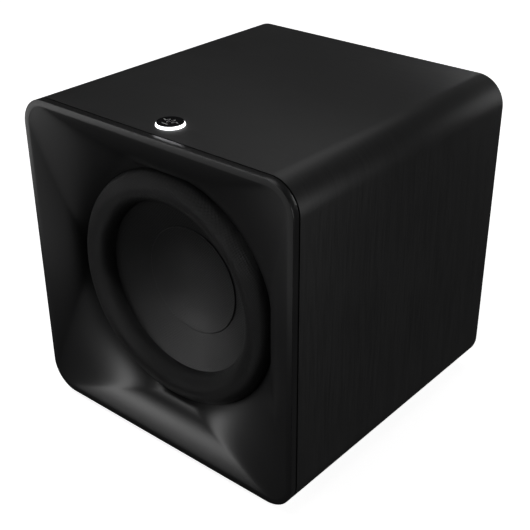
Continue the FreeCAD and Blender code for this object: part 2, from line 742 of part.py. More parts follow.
def make_leads():
    """Speaker pair from the amplifier to the driver, badge lead, and the driver's flexible tinsel leads."""
    # Hand-laid points: across, along, and up from the driver's axis.
    speaker = [
        (-46, 88, -55),
        (-46, 88, -79),
        (-44, 52, -82),
        (-36, 17, -88),
        (-18, -18, -91),
        (-3, -50, -87.5),
        (-3, -74, -87.5),
    ]
    side_by_side = 6
    routes = [
        [FreeCAD.Vector(x + shift, y, z) for x, y, z in speaker] for shift in (0, side_by_side)
    ]
    lead_part("speaker_leads", routes, number("lead_radius"))
    badge = [
        (0, -120.5, 152.5),
        (0, -119.5, 141.5),
        (1, -98, 140),
        (6, -62, 130),
        (16, -22, 108),
        (26, 16, 92),
        (34, 46, 86),
        (36, 76, 85),
    ]
    lead_part("badge_lead", [[FreeCAD.Vector(*point) for point in badge]], number("lead_radius") - 0.3)
    tinsel = [
        (11.5, -87.5, -88),
        (11.5, -95, -88),
        (10, -101, -76),
        (7.5, -101.5, -58),
        (5, -98.5, -42),
        (4, -97.6, -34.5),
    ]
    routes = [[FreeCAD.Vector(side * x, y, z) for x, y, z in tinsel] for side in (-1, 1)]
    lead_part("tinsel_leads", routes, 0.6)


# ---------------------------------------------------------------- amplifier panel and what it carries


def make_amp_panel():
    """Moulded rear panel: flange, recess for the controls, and the openings in the recess's floor."""
    body = new_body("amp_panel", z=MIDDLE)
    slab(body, BACK, "panel_thick", rounded, "panel_width", "panel_height", "panel_corner")
    outer = [f"{side} + 2 * dish_wall" for side in ("dish_width", "dish_height")]
    behind_flange = f"{BACK} - panel_thick"
    dish_length = "dish_depth + dish_wall - panel_thick"
    slab(body, behind_flange, dish_length, rounded, *outer, "panel_corner + dish_wall")
    recess(body, BACK, "dish_depth", rounded, "dish_width", "dish_height", "panel_corner")
    holes_through(body, BACK, "panel_thick + 1", PANEL_SCREWS, "screw_radius + screw_play")
    holes_through(body, BACK, "1.7", PANEL_SCREWS, "3.2")
    floor = upright(body, DISH_FACE)
    circles(floor, [LEVEL_AT, CROSSOVER_AT], "shaft_radius + 0.6")
    circles(floor, JACKS_AT, "jack_radius - 0.55")
    circle(floor, "button_radius + moving_gap", *BUTTON_AT)
    circle(floor, "1.5", *LENS_AT)
    circles(floor, TRAY_SCREWS, "screw_radius + screw_play")
    rectangle(floor, "6 + 2 * moving_gap", "3 + 2 * moving_gap", *PHASE_AT)
    rectangle(floor, "inlet_width + 2.8", "inlet_height + 3.4", *INLET_AT)
    rectangle(floor, "rocker_width + 3.2", "19.2", *ROCKER_AT)
    cut(floor, "dish_wall + 1")
    return body


def make_panel_fixings():
    """Foam gasket under the flange, and the screws of the panel and of the tray."""
    body = new_body("panel_gasket", z=MIDDLE)
    sketch = upright(body, f"{BACK} - panel_thick")
    rounded(sketch, "panel_width - 4", "panel_height - 4", "panel_corner - 2")
    rounded(sketch, "opening_width + 4", "opening_height + 4", "6")
    pad(sketch, "gasket_thick")
    holes_through(body, f"{BACK} - panel_thick", "2", PANEL_SCREWS, "screw_radius + screw_play")
    screws = new_body("panel_screws", z=MIDDLE)
    rear_screws(screws, f"{BACK} - 0.1", PANEL_SCREWS, "3", "1.6", "screw_radius", "12")
    rear_screws(screws, f"{DISH_FACE} + 1.6", TRAY_SCREWS, "3", "1.6", "screw_radius", "12")


def make_tray():
    """Sheet-metal tray that closes off the electronics, with tabs for its screws and drawn board spacers."""
    body = new_body("amp_tray", z=MIDDLE)
    slab(body, DISH_REAR, "tray_depth", rounded, "tray_width", "tray_height", "6")
    inner = [f"{side} - 2 * sheet_metal" for side in ("tray_width", "tray_height")]
    recess(body, DISH_REAR, "tray_depth - sheet_metal", rounded, *inner, "6 - sheet_metal")
    tabs = upright(body, DISH_REAR)
    for x, y in TRAY_SCREWS:
        rectangle(tabs, "20", "20", x, y)
    pad(tabs, "sheet_metal")
    trim = upright(body, DISH_REAR)
    rounded(trim, "tray_width + 20", "tray_height + 20", "16")
    rounded(trim, "tray_width", "tray_height", "6")
    cut(trim, "sheet_metal")
    holes_through(body, DISH_REAR, "3", TRAY_SCREWS, "screw_radius")
    spacer_end = f"{TRAY_FRONT} + sheet_metal + standoff_length"
    slab(body, spacer_end, "standoff_length", circles, BOARD_SCREWS, "3.2")
    holes_through(body, spacer_end, "standoff_length - 0.5", BOARD_SCREWS, "screw_radius")
    holes = upright(body, f"{TRAY_FRONT} + sheet_metal")
    rounded(holes, "18", "10", "4.9", "-42", "-80.3")
    circle(holes, "3", "35.6", "85.2")
    cut(holes, "3")
    return body


def make_grommet():
    """Rubber grommet round the speaker pair where it leaves the tray."""
    body = new_body("lead_grommet", z=MIDDLE)
    middle = f"{TRAY_FRONT} + sheet_metal / 2"
    for size, length in ((("24", "16", "7.9"), "1"), (("18", "10", "4.9"), "sheet_metal")):
        back = f"{TRAY_FRONT}" if length == "1" else f"{TRAY_FRONT} + sheet_metal"
        slab(body, back, length, rounded, *size, "-42", "-80.3")
    slab(body, f"{TRAY_FRONT} + sheet_metal + 1", "1", rounded, "24", "16", "7.9", "-42", "-80.3")
    recess(body, f"{middle} + 4", "8", circles, [("-45.1", "-80.3"), ("-39.1", "-80.3")], "2.1")


def make_main_board():
    """Amplifier board with its output header, and the screws that hold it to the tray's spacers."""
    body = new_body("main_board", z=MIDDLE)
    slab(body, BOARD_FACE, "circuit_thick", rectangle, "150", "150", "0", "20")
    holes_through(body, BOARD_FACE, "3", BOARD_SCREWS, "screw_radius + screw_play")
    slab(body, f"{BOARD_FACE} + 12", "12", rounded, "18", "12", "1", "-43", "-49")
    screws = new_body("board_screws", z=MIDDLE)
    rear_screws(screws, f"{BOARD_FACE} + 1.8", BOARD_SCREWS, "2.8", "1.8", "screw_radius", "9")


def make_heat_sink():
    """Finned heat sink on the amplifier board."""
    body = new_body("heat_sink", z=MIDDLE)
    base, fin, across, up = "5", "22", "14", "62"
    slab(body, f"{BOARD_FACE} + {base}", base, rectangle, "100", "50", across, up)
    fins = upright(body, f"{BOARD_FACE} + {base} + {fin}")
    for step in range(9):
        rectangle(fins, "1.6", "50", f"{across} + {12 * (step - 4)}", up)
    pad(fins, fin)


def make_transformer():
    """Switching transformer: ferrite core with two windows, and the winding round its middle leg."""
    across, up = "36", "0"
    centre = f"{BOARD_FACE} + 17"
    core = new_body("transformer_core", z=MIDDLE)
    slab(core, f"{centre} + 7", "14", rectangle, "44", "44", across, up)
    windows = upright(core, f"{centre} + 7")
    for side in "-+":
        rectangle(windows, "10", "32", f"{across} {side} 11", up)
    cut(windows, "14")
    winding = new_body("transformer_winding", z=MIDDLE)
    coil = level(winding, "-15.5")
    rounded(coil, "31", "32", "5", across, centre)
    rectangle(coil, "12.4", "14.4", across, centre)
    pad(coil, "31")


def make_board_parts():
    """Smoothing capacitors and output chokes."""
    cans = new_body("filter_capacitors", z=MIDDLE)
    spots = [("-60", z) for z in ("28", "52", "76")]
    slab(cans, f"{BOARD_FACE} + 30", "30", circles, spots, "9")
    chokes = doc.addObject("Part::Compound", "output_chokes")
    chokes.Label = "output_chokes"
    rings = []
    for place, across in enumerate(("-20", "4")):
        ring = doc.addObject("Part::Torus", f"choke_{place}")
        ring.setExpression("Radius1", cell("7"))
        ring.setExpression("Radius2", cell("3.5"))
        ring.setExpression("Placement.Base.x", cell(across))
        ring.setExpression("Placement.Base.y", cell(f"{BOARD_FACE} + 3.5"))
        ring.Placement.Rotation = FreeCAD.Rotation(FreeCAD.Vector(1, 0, 0), 90)
        rings.append(ring)
    chokes.Links = rings
    chokes.setExpression("Placement.Base.z", cell(f"{MIDDLE} - 20"))
    nodes.append(chokes)


def make_control_board():
    """Board behind the controls with the pairing switch on it, and the wireless module on its back."""
    body = new_body("control_board", z=MIDDLE)
    slab(body, CONTROL_FACE, "circuit_thick", rectangle, "140", "76", "0", "38")
    slab(body, f"{CONTROL_FACE} + switch_height", "switch_height", rounded, "6", "6", "0.5", *BUTTON_AT)
    module = new_body("wireless_module", z=MIDDLE)
    slab(module, f"{CONTROL_FACE} - circuit_thick", "3", rounded, "24", "18", "1", "-50", "30")


def make_pots():
    """The two potentiometers, each with a bushing that comes through the panel."""
    pots = new_body("control_pots", y=DISH_FACE, z=MIDDLE)
    spots = [LEVEL_AT, CROSSOVER_AT]
    case_back = "-dish_wall - 4"
    cases = upright(pots, case_back)
    for x, z in spots:
        rounded(cases, "16", "16", "1", x, z)
    pad(cases, "control_gap - 4")
    slab(pots, "1.5", f"1.5 - ({case_back})", circles, spots, "shaft_radius + 0.5")
    recess(pots, "1.5", "dish_wall + control_gap", circles, spots, "shaft_radius + shaft_play")


def make_control(name, spot):
    """Shaft and knob of one rotary control. Their origin is on the recess's floor."""
    x, z = spot
    place = dict(x=x, y=DISH_FACE, z=f"{MIDDLE} + {z}")
    shaft = new_body(f"{name}_shaft", **place)
    slab(shaft, "10.4", "10.4 + dish_wall + control_gap - 2.2", circle, "shaft_radius")
    knob = new_body(f"{name}_knob", **place)
    foot, top = "0.8", "0.8 + knob_height"
    profile = [
        (foot, "knob_radius"),
        (foot, "7"),
        (f"{foot} + 1.6", "7"),
        (f"{foot} + 1.6", "shaft_radius"),
        ("10.4", "shaft_radius"),
        ("10.4", "0"),
        (top, "0"),
        (top, "knob_radius - 1.4"),
        (f"{top} - 1", "knob_radius - 0.6"),
    ]
    sketch = sketch_on(knob, "YZ_Plane")
    outline(sketch, profile)
    turn(sketch)
    pointer = upright(knob, top)
    rectangle(pointer, "1.2", "6", "0", "knob_radius - 4.4")
    cut(pointer, "0.5")


def make_phase_switch():
    """Slide switch: case with a slot, and the slider at the left end of its travel."""
    x, z = PHASE_AT
    place = dict(x=x, y=DISH_FACE, z=f"{MIDDLE} + {z}")
    case = new_body("phase_switch", **place)
    slab(case, "-dish_wall", "control_gap", rounded, "14", "9", "1")
    recess(case, "-dish_wall", "6", rectangle, "8.6", "4.6")
    travel = "3"
    slider = new_body("phase_slider", **place)
    slab(slider, "-dish_wall - 1", "4", rectangle, "5", "4", f"-{travel} / 2", "0")
    slab(slider, "2.2", "dish_wall + 3.2", rectangle, "3", "3", f"-{travel} / 2", "0")


def make_line_sockets():
    """Pair of line sockets: moulded bodies whose insulators come through the panel, and plated collars."""
    bore = "jack_radius - 0.55"
    bodies = new_body("line_sockets", z=MIDDLE)
    sketch = upright(bodies, DISH_REAR)
    for x, z in JACKS_AT:
        rounded(sketch, "12", "12", "1", x, z)
    pad(sketch, "control_gap")
    insert_end = f"{DISH_FACE} + jack_length - 0.8"
    slab(bodies, insert_end, "jack_length + dish_wall - 0.8", circles, JACKS_AT, bore)
    holes_through(bodies, insert_end, "jack_length - 1", JACKS_AT, "1.65")
    collars = new_body("line_socket_collars", z=MIDDLE)
    slab(collars, f"{DISH_FACE} + 1", "1", circles, JACKS_AT, "5.6")
    slab(collars, f"{DISH_FACE} + jack_length", "jack_length - 1", circles, JACKS_AT, "jack_radius")
    holes_through(collars, f"{DISH_FACE} + jack_length", "jack_length + 1", JACKS_AT, bore)


def make_pairing_button():
    """Pairing button with its retaining flange, and the status light's lens."""
    x, z = BUTTON_AT
    place = dict(x=x, y=DISH_FACE, z=f"{MIDDLE} + {z}")
    travel = "0.8"
    button = new_body("pairing_button", **place)
    stem_end = f"dish_wall + control_gap - switch_height - {travel} - moving_gap"
    slab(button, "1.4", f"1.4 + {stem_end}", circle, "2")
    slab(button, "1.4", "4.2", circle, "button_radius")
    slab(button, "-dish_wall - moving_gap", "1.2", circle, "button_radius + 1.2")
    lens = new_body("status_lens", z=MIDDLE)
    slab(lens, f"{DISH_FACE} + 0.5", "dish_wall + control_gap - 1", circle, "1.5", *LENS_AT)


def make_mains_inlet():
    """Mains inlet with its flange and cavity, and the three flat pins."""
    x, z = INLET_AT
    place = dict(x=x, y=DISH_FACE, z=f"{MIDDLE} + {z}")
    body = new_body("mains_inlet", **place)
    slab(body, "2", "2", rounded, "inlet_width + 7", "inlet_height + 8", "3")
    slab(body, "0", "inlet_depth + 3", rectangle, "inlet_width + 2.6", "inlet_height + 3.2")
    half_width, half_height = "inlet_width / 2", "inlet_height / 2"
    chamfer = "4"
    cavity = [
        (f"-{half_width}", f"-{half_height}"),
        (half_width, f"-{half_height}"),
        (half_width, f"{half_height} - {chamfer}"),
        (f"{half_width} - {chamfer}", half_height),
        (f"-{half_width} + {chamfer}", half_height),
        (f"-{half_width}", f"{half_height} - {chamfer}"),
    ]
    recess(body, "2", "inlet_depth", outline, cavity)
    pin_spots = [("-7", "-2"), ("7", "-2"), ("0", "2")]
    floor = "2 - inlet_depth"
    slots = upright(body, floor)
    pins = new_body("inlet_pins", **place)
    blades = upright(pins, f"{floor} + 11")
    for spot in pin_spots:
        rectangle(slots, "2", "4", *spot)
        rectangle(blades, "2", "4", *spot)
    cut(slots, "10")
    pad(blades, "11 + 5 + 6")


def make_power_switch():
    """Rocker switch: frame, and the rocker on its own pivot stubs, resting tipped to one side."""
    x, z = ROCKER_AT
    place = dict(x=x, y=DISH_FACE, z=f"{MIDDLE} + {z}")
    frame = new_body("power_switch", **place)
    slab(frame, "1.6", "1.6", rounded, "rocker_width + 6", "22", "1.5")
    slab(frame, "0", "18", rectangle, "rocker_width + 3", "19")
    recess(frame, "1.6", "9", rectangle, "rocker_width + 2 * moving_gap", "16.6")
    pivot_depth, pin_radius, pin_length = "-2", "0.8", "rocker_width + 2"
    bore = sketch_on(frame, "YZ_Plane", f"-({pin_length}) / 2")
    circle(bore, pin_radius, pivot_depth, "0")
    cut(bore, pin_length)
    place["y"] = f"{DISH_FACE} + ({pivot_depth})"
    rocker = new_body("power_rocker", **place)
    side = sketch_on(rocker, "YZ_Plane", "-rocker_width / 2")
    profile = [("4.4", "-7.2"), ("4.4", "7.2"), ("-1", "7.2"), ("-3.6", "3"), ("-3.6", "-3"), ("-1", "-7.2")]
    profile.insert(1, ("2.9", "0"))
    outline(side, profile)
    pad(side, "rocker_width")
    stubs = sketch_on(rocker, "YZ_Plane", f"-({pin_length}) / 2 + shaft_play")
    circle(stubs, f"{pin_radius} - shaft_play")
    pad(stubs, f"{pin_length} - 2 * shaft_play")
    rocker.Placement.Rotation = FreeCAD.Rotation(FreeCAD.Vector(1, 0, 0), 10)


# ---------------------------------------------------------------- badge


def make_badge():
    """Lit badge on the cabinet's top: light ring, dark disc, and the light board in the seat below."""
    top = "foot_height + cab_height"
    place = dict(y=f"{FRONT} + badge_setback", z=top)
    ring = new_body("badge_light_ring", **place)
    sketch = sketch_on(ring, "XZ_Plane")
    profile = [
        ("0", "0.6"),
        ("badge_stem - 1.5", "0.6"),
        ("badge_stem - 1.5", "-badge_sink + 2.6"),
        ("badge_stem", "-badge_sink + 2.6"),
        ("badge_stem", "0"),
        ("badge_radius", "0"),
        ("badge_radius - 0.6", "badge_height"),
        ("0", "badge_height"),
    ]
    outline(sketch, profile)
    turn(sketch, "V_Axis")
    disc = new_body("badge_disc", **place)
    sketch = level(disc, "badge_height")
    circle(sketch, "badge_radius - 1")
    pad(sketch, "badge_cap")
    board = new_body("badge_board", **place)
    sketch = level(board, "-badge_sink + 1")
    circle(sketch, "badge_stem - 0.3")
    pad(sketch, "circuit_thick")
    sketch = level(board, "-badge_sink + 1 + circuit_thick")
    for x, y in (("6", "0"), ("-6", "0"), ("0", "6"), ("0", "-6")):
        rectangle(sketch, "2.8", "2.8", x, y)
    pad(sketch, "1")


# ---------------------------------------------------------------- build, check and write


def build():
    """Make every sub-part, group by group."""
    fill_sheet()
    make_cabinet()
    make_driver_board()
    make_brace()
    make_rear_board()
    make_wadding()
    make_feet()
    make_front_moulding()
    make_flare_fixings()
    make_basket()
    make_surround()
    make_cone()
    make_spider()
    make_motor()
    make_driver_fixings()
    make_leads()
    make_amp_panel()
    make_panel_fixings()
    make_tray()
    make_grommet()
    make_main_board()
    make_heat_sink()
    make_transformer()
    make_board_parts()
    make_control_board()
    make_pots()
    make_control("level", LEVEL_AT)
    make_control("crossover", CROSSOVER_AT)
    make_phase_switch()
    make_line_sockets()
    make_pairing_button()
    make_mains_inlet()
    make_power_switch()
    make_badge()
    doc.recompute()


def check():
    """Stop if any object failed or any sub-part's shape is not sound."""
    failed = [o.Name for o in doc.Objects if {"Invalid", "Error"} & set(o.State)]
    if failed:
        raise RuntimeError(f"objects that failed: {failed}")
    for node in nodes:
        if node.Shape.isNull() or not node.Shape.isValid() or not node.Shape.Solids:
            raise RuntimeError(f"{node.Label} has no sound shape")


def write():
    """Write one STEP file for each sub-part."""
    os.makedirs(OUT, exist_ok=True)
    for node in nodes:
        node.Shape.exportStep(os.path.join(OUT, f"{node.Label}.step"))
        print(f"{node.Label}: {len(node.Shape.Solids)} solid(s), {node.Shape.Volume / 1000:.2f} cm3")
    print(f"{len(nodes)} sub-parts")


build()
check()
write()
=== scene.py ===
import logging
import math
from dataclasses import dataclass, field
from enum import Enum
from typing import Callable, Sequence

import bmesh
import bpy
from mathutils import Matrix, Vector


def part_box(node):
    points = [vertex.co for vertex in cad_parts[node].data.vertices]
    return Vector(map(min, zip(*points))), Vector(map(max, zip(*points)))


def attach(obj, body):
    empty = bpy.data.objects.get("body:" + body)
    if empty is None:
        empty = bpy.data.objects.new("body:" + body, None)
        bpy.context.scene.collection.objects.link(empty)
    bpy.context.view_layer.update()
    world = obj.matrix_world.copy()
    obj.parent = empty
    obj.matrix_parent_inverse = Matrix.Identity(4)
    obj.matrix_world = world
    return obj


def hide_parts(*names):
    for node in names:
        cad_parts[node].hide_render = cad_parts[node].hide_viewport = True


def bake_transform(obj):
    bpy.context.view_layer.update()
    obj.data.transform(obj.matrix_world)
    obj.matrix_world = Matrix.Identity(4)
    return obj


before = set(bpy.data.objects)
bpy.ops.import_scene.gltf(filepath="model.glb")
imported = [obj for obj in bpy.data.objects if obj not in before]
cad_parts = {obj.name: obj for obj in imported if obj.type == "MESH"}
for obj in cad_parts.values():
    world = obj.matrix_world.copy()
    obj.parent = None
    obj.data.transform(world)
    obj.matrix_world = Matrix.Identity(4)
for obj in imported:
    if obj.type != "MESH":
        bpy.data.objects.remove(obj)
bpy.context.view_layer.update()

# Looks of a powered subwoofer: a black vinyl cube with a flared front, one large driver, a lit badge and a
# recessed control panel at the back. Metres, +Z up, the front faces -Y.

LOG = logging.getLogger("subwoofer")
MM = 0.001
TURN = 2 * math.pi
FLAT_AREA = 12.0

Number = float | int
Point = tuple[float, float, float]
Colour = tuple[float, float, float]


class Body(Enum):
    """The bodies that a piece can ride on."""

    CABINET = "cabinet"
    CONE = "cone_group"
    LEVEL = "level_dial"
    CROSSOVER = "crossover_dial"
    PHASE = "phase_tip"
    ROCKER = "rocker"
    PAIRING = "pairing_key"


class Axis(Enum):
    """The axis that a turned piece is spun about."""

    Y = (0.0, 1.0, 0.0)
    Z = (0.0, 0.0, 1.0)


# ---------------------------------------------------------------- shader graph


class Value:
    """A number socket that takes part in Python sums, each of which adds a Math node."""

    def __init__(self, graph: "Graph", socket: bpy.types.NodeSocket) -> None:
        """Wraps an output socket of one graph."""
        self.graph = graph
        self.socket = socket

    def math(self, operation: str, *others: "Value | Number") -> "Value":
        """Adds a Math node whose first input is this value.

        Args:
            operation: The Math node's operation, such as SINE.
            others: Its further inputs.

        Returns:
            The node's result.
        """
        return self.graph.math(operation, self, *others)

    def __add__(self, other: "Value | Number") -> "Value":
        """This value plus another."""
        return self.math("ADD", other)

    def __radd__(self, other: Number) -> "Value":
        """A number plus this value."""
        return self.graph.math("ADD", other, self)

    def __sub__(self, other: "Value | Number") -> "Value":
        """This value less another."""
        return self.math("SUBTRACT", other)

    def __rsub__(self, other: Number) -> "Value":
        """A number less this value."""
        return self.graph.math("SUBTRACT", other, self)

    def __mul__(self, other: "Value | Number") -> "Value":
        """This value times another."""
        return self.math("MULTIPLY", other)

    def __rmul__(self, other: Number) -> "Value":
        """A number times this value."""
        return self.graph.math("MULTIPLY", other, self)

    def sine(self) -> "Value":
        """The sine of this value, in radians."""
        return self.math("SINE")

    def size(self) -> "Value":
        """This value without its sign."""
        return self.math("ABSOLUTE")

    def step(self, low: float, high: float) -> "Value":
        """A smooth step of this value, 0 below low and 1 above high."""
        settings = {"interpolation_type": "SMOOTHSTEP"}
        node = self.graph.node("ShaderNodeMapRange", settings, {0: self, 1: low, 2: high})
        return Value(self.graph, node.outputs[0])


class Graph:
    """One material's nodes, all made by the one method node."""

    def __init__(self, name: str) -> None:
        """Makes an empty material with its shader, ready for links."""
        self.material = bpy.data.materials.new(name)
        self.material.use_nodes = True
        self.tree = self.material.node_tree
        self.shader = self.tree.nodes["Principled BSDF"]
        self.place = self.node("ShaderNodeTexCoord").outputs["Object"]

    def node(self, kind: str, settings: dict | None = None, inputs: dict | None = None) -> bpy.types.Node:
        """Adds one node.

        Args:
            kind: The node's type.
            settings: Its properties.
            inputs: Values or links for its sockets, by name or number.

        Returns:
            The new node.
        """
        node = self.tree.nodes.new(kind)
        for key, setting in (settings or {}).items():
            setattr(node, key, setting)
        for key, value in (inputs or {}).items():
            self.feed(node.inputs[key], value)
        return node

    def feed(self, socket: bpy.types.NodeSocket, value: object) -> None:
        """Links a value to a socket, or sets the socket to a constant."""
        if isinstance(value, Value):
            self.tree.links.new(value.socket, socket)
        elif isinstance(value, bpy.types.NodeSocket):
            self.tree.links.new(value, socket)
        elif socket.type == "RGBA":
            socket.default_value = (*value, 1.0)
        else:
            socket.default_value = value

    def math(self, operation: str, *inputs: Value | Number) -> Value:
        """A Math node's result."""
        node = self.node("ShaderNodeMath", {"operation": operation}, dict(enumerate(inputs)))
        return Value(self, node.outputs[0])

    def axes(self) -> tuple[Value, Value, Value]:
        """The place on the object, as three values in metres."""
        node = self.node("ShaderNodeSeparateXYZ", inputs={0: self.place})
        return Value(self, node.outputs[0]), Value(self, node.outputs[1]), Value(self, node.outputs[2])

    def attribute(self, name: str) -> Value:
        """A number that the mesh carries."""
        node = self.node("ShaderNodeAttribute", {"attribute_name": name})
        return Value(self, node.outputs["Fac"])

    def stretched(self, scale: Point) -> bpy.types.NodeSocket:
        """The place on the object with each axis scaled."""
        node = self.node("ShaderNodeMapping", inputs={"Vector": self.place, "Scale": scale})
        return node.outputs[0]

    def noise(
        self, scale: float, detail: float = 2.0, vector: object = None, roughness: float = 0.5
    ) -> Value:
        """Cloudy noise from 0 to 1.

        Args:
            scale: Its cells per metre.
            detail: How many finer layers it has.
            vector: Where it is read, the place on the object if none is given.
            roughness: How strong the finer layers are.

        Returns:
            The noise.
        """
        inputs = {"Vector": self.place if vector is None else vector, "Scale": scale, "Detail": detail}
        inputs["Roughness"] = roughness
        node = self.node("ShaderNodeTexNoise", inputs=inputs)
        return Value(self, node.outputs[0])

    def mix(self, share: Value, first: Colour, second: Colour) -> bpy.types.NodeSocket:
        """A colour between two, by a share from 0 to 1."""
        settings = {"data_type": "RGBA", "clamp_factor": True}
        node = self.node("ShaderNodeMix", settings, {0: share, 6: first, 7: second})
        return node.outputs[2]

    def bump(self, height: Value, distance: float, strength: float = 1.0) -> None:
        """Raises the surface by height times distance, in metres."""
        inputs = {"Height": height, "Distance": distance, "Strength": strength}
        node = self.node("ShaderNodeBump", inputs=inputs)
        self.feed(self.shader.inputs["Normal"], node.outputs[0])

    def set(self, **sockets: object) -> None:
        """Sets or links the shader's sockets, each named in lower case with underscores."""
        names = {socket.name.lower().replace(" ", "_"): socket for socket in self.shader.inputs}
        for name, value in sockets.items():
            self.feed(names[name], value)


# ---------------------------------------------------------------- finishes


def grey(level: float) -> Colour:
    """A colour with the same share of red, green and blue."""
    return (level, level, level)


@dataclass(frozen=True)
class Finish:
    """A finish: its material's name and the record's slot. Each kind dresses a graph in its own way."""

    name: str
    slot: str

    def dress(self, graph: Graph) -> None:
        """Adds this finish's nodes."""
        raise NotImplementedError

    def material(self) -> bpy.types.Material:
        """This finish's material, made once."""
        found = bpy.data.materials.get(self.name)
        if found:
            return found
        graph = Graph(self.name)
        self.dress(graph)
        return graph.material


@dataclass(frozen=True)
class AshVinyl(Finish):
    """Black vinyl wrap with a fine ash grain that runs round the cabinet."""

    dark: Colour = (0.0135, 0.0135, 0.0138)
    light: Colour = (0.0215, 0.0215, 0.0218)
    gloss: float = 0.46

    def dress(self, graph: Graph) -> None:
        """Long streaks across Y, broken by clouds, with pores in relief."""
        streaks = graph.noise(1.0, 3.0, graph.stretched((22, 620, 22)), 0.55)
        pores = graph.noise(1.0, 2.0, graph.stretched((150, 2600, 150)), 0.6)
        clouds = graph.noise(14.0, 2.0)
        grain = streaks * 0.6 + pores * 0.25 + clouds * 0.15
        graph.set(
            base_color=graph.mix(grain.step(0.34, 0.66), self.dark, self.light),
            roughness=self.gloss + (grain - 0.5) * 0.2,
            specular_ior_level=0.42,
        )
        graph.bump(grain.step(0.3, 0.75), 0.00002)


@dataclass(frozen=True)
class SatinMoulding(Finish):
    """Moulded plastic with a fine spark texture."""

    dark: Colour = (0.011, 0.011, 0.0115)
    light: Colour = (0.015, 0.015, 0.0155)
    gloss: float = 0.34
    texture: float = 2600.0
    relief: float = 0.000012

    def dress(self, graph: Graph) -> None:
        """Tiny rounded grains, and a slow change of gloss over the face."""
        spark = graph.noise(self.texture, 1.0)
        flow = graph.noise(9.0, 2.0)
        graph.set(
            base_color=graph.mix(flow.step(0.3, 0.7), self.dark, self.light),
            roughness=self.gloss + (flow - 0.5) * 0.07 + (spark - 0.5) * 0.06,
        )
        graph.bump(spark, self.relief)


@dataclass(frozen=True)
class LatticeRubber(Finish):
    """Rubber with a raised diamond lattice that follows the ring and its section."""

    dark: Colour = (0.004, 0.004, 0.0042)
    light: Colour = (0.017, 0.017, 0.0175)
    gloss: float = 0.4
    around: int = 400
    pitch: float = 1.6 * MM
    relief: float = 0.00045

    def dress(self, graph: Graph) -> None:
        """Two families of crossing rib lines, from the angle round the axis and the way across the section,
        with a painted highlight on the raised lattice and painted shade in its hollows.
        """
        across_x, _, up = graph.axes()
        angle = graph.math("ARCTAN2", up - CENTRE.z, across_x - CENTRE.x)
        way = graph.attribute("across") * (TURN / self.pitch)
        rising = (angle * self.around + way) * 0.5
        falling = (angle * self.around - way) * 0.5
        rib_relief_and_shade = rising.sine().size() * falling.sine().size()
        wear = graph.noise(40.0, 2.0)
        # The base colour is a painted highlight on the raised lattice and painted shade in its hollows.
        graph.set(
            base_color=graph.mix(rib_relief_and_shade, self.dark, self.light),
            roughness=self.gloss + (wear - 0.5) * 0.1 - rib_relief_and_shade * 0.08,
        )
        graph.bump(rib_relief_and_shade, self.relief)


@dataclass(frozen=True)
class WovenFibre(Finish):
    """Black woven fibre under a thin lacquer."""

    dark: Colour = (0.0035, 0.0035, 0.0037)
    light: Colour = (0.013, 0.013, 0.0135)
    gloss: float = 0.44
    pitch: float = 1.3 * MM
    relief: float = 0.00025

    def dress(self, graph: Graph) -> None:
        """Warp and weft that pass over and under each other, with a painted highlight along each thread's
        crown and painted shade between.
        """
        across, _, up = graph.axes()
        warp = (across * (math.pi / self.pitch)).sine()
        weft = (up * (math.pi / self.pitch)).sine()
        over = (warp * weft).step(-0.2, 0.2)
        thread_relief_and_shade = warp.size() * over + weft.size() * (1 - over)
        cloud = graph.noise(30.0, 2.0)
        # The base colour follows the weave's relief: a painted highlight on each thread's crown and painted
        # shade between.
        graph.set(
            base_color=graph.mix(thread_relief_and_shade, self.dark, self.light),
            roughness=self.gloss + (cloud - 0.5) * 0.12 - thread_relief_and_shade * 0.06,
            coat_weight=0.15,
            coat_roughness=0.35,
        )
        graph.bump(thread_relief_and_shade, self.relief)


@dataclass(frozen=True)
class Coat(Finish):
    """A plain sprayed, plated, cast or turned finish: two tones, a gloss, a metal share and a grain."""

    dark: Colour = (0.02, 0.02, 0.02)
    light: Colour = (0.03, 0.03, 0.03)
    gloss: float = 0.45
    metal: float = 0.0
    grain: float = 900.0
    stretch: Point = (1.0, 1.0, 1.0)
    relief: float = 0.00002

    def dress(self, graph: Graph) -> None:
        """Fine grain in tone, gloss and relief."""
        scale = tuple(self.grain * part for part in self.stretch)
        grain = graph.noise(1.0, 2.0, graph.stretched(scale))
        patches = graph.noise(35.0, 2.0)
        graph.set(
            base_color=graph.mix((grain * 0.6 + patches * 0.4).step(0.3, 0.7), self.dark, self.light),
            roughness=self.gloss + (grain - 0.5) * 0.16 + (patches - 0.5) * 0.1,
            metallic=self.metal,
        )
        graph.bump(grain, self.relief)


@dataclass(frozen=True)
class RawBoard(Finish):
    """Fibreboard with loose fibres, sprayed black towards its front and back ends."""

    def dress(self, graph: Graph) -> None:
        """Fibres in two tones, and the black spray by the distance along Y."""
        fibres = graph.noise(1.0, 4.0, graph.stretched((900, 240, 900)), 0.65)
        _, along, _ = graph.axes()
        spray = along.size().step(0.1495, 0.1505)
        wood = graph.mix(fibres.step(0.3, 0.7), (0.3, 0.19, 0.1), (0.5, 0.36, 0.22))
        settings = {"data_type": "RGBA", "clamp_factor": True}
        colour = graph.node("ShaderNodeMix", settings, {0: spray, 6: wood, 7: (0.012, 0.012, 0.012)})
        graph.set(base_color=colour.outputs[2], roughness=0.75 - spray * 0.25 + (fibres - 0.5) * 0.2)
        graph.bump(fibres, 0.0001)


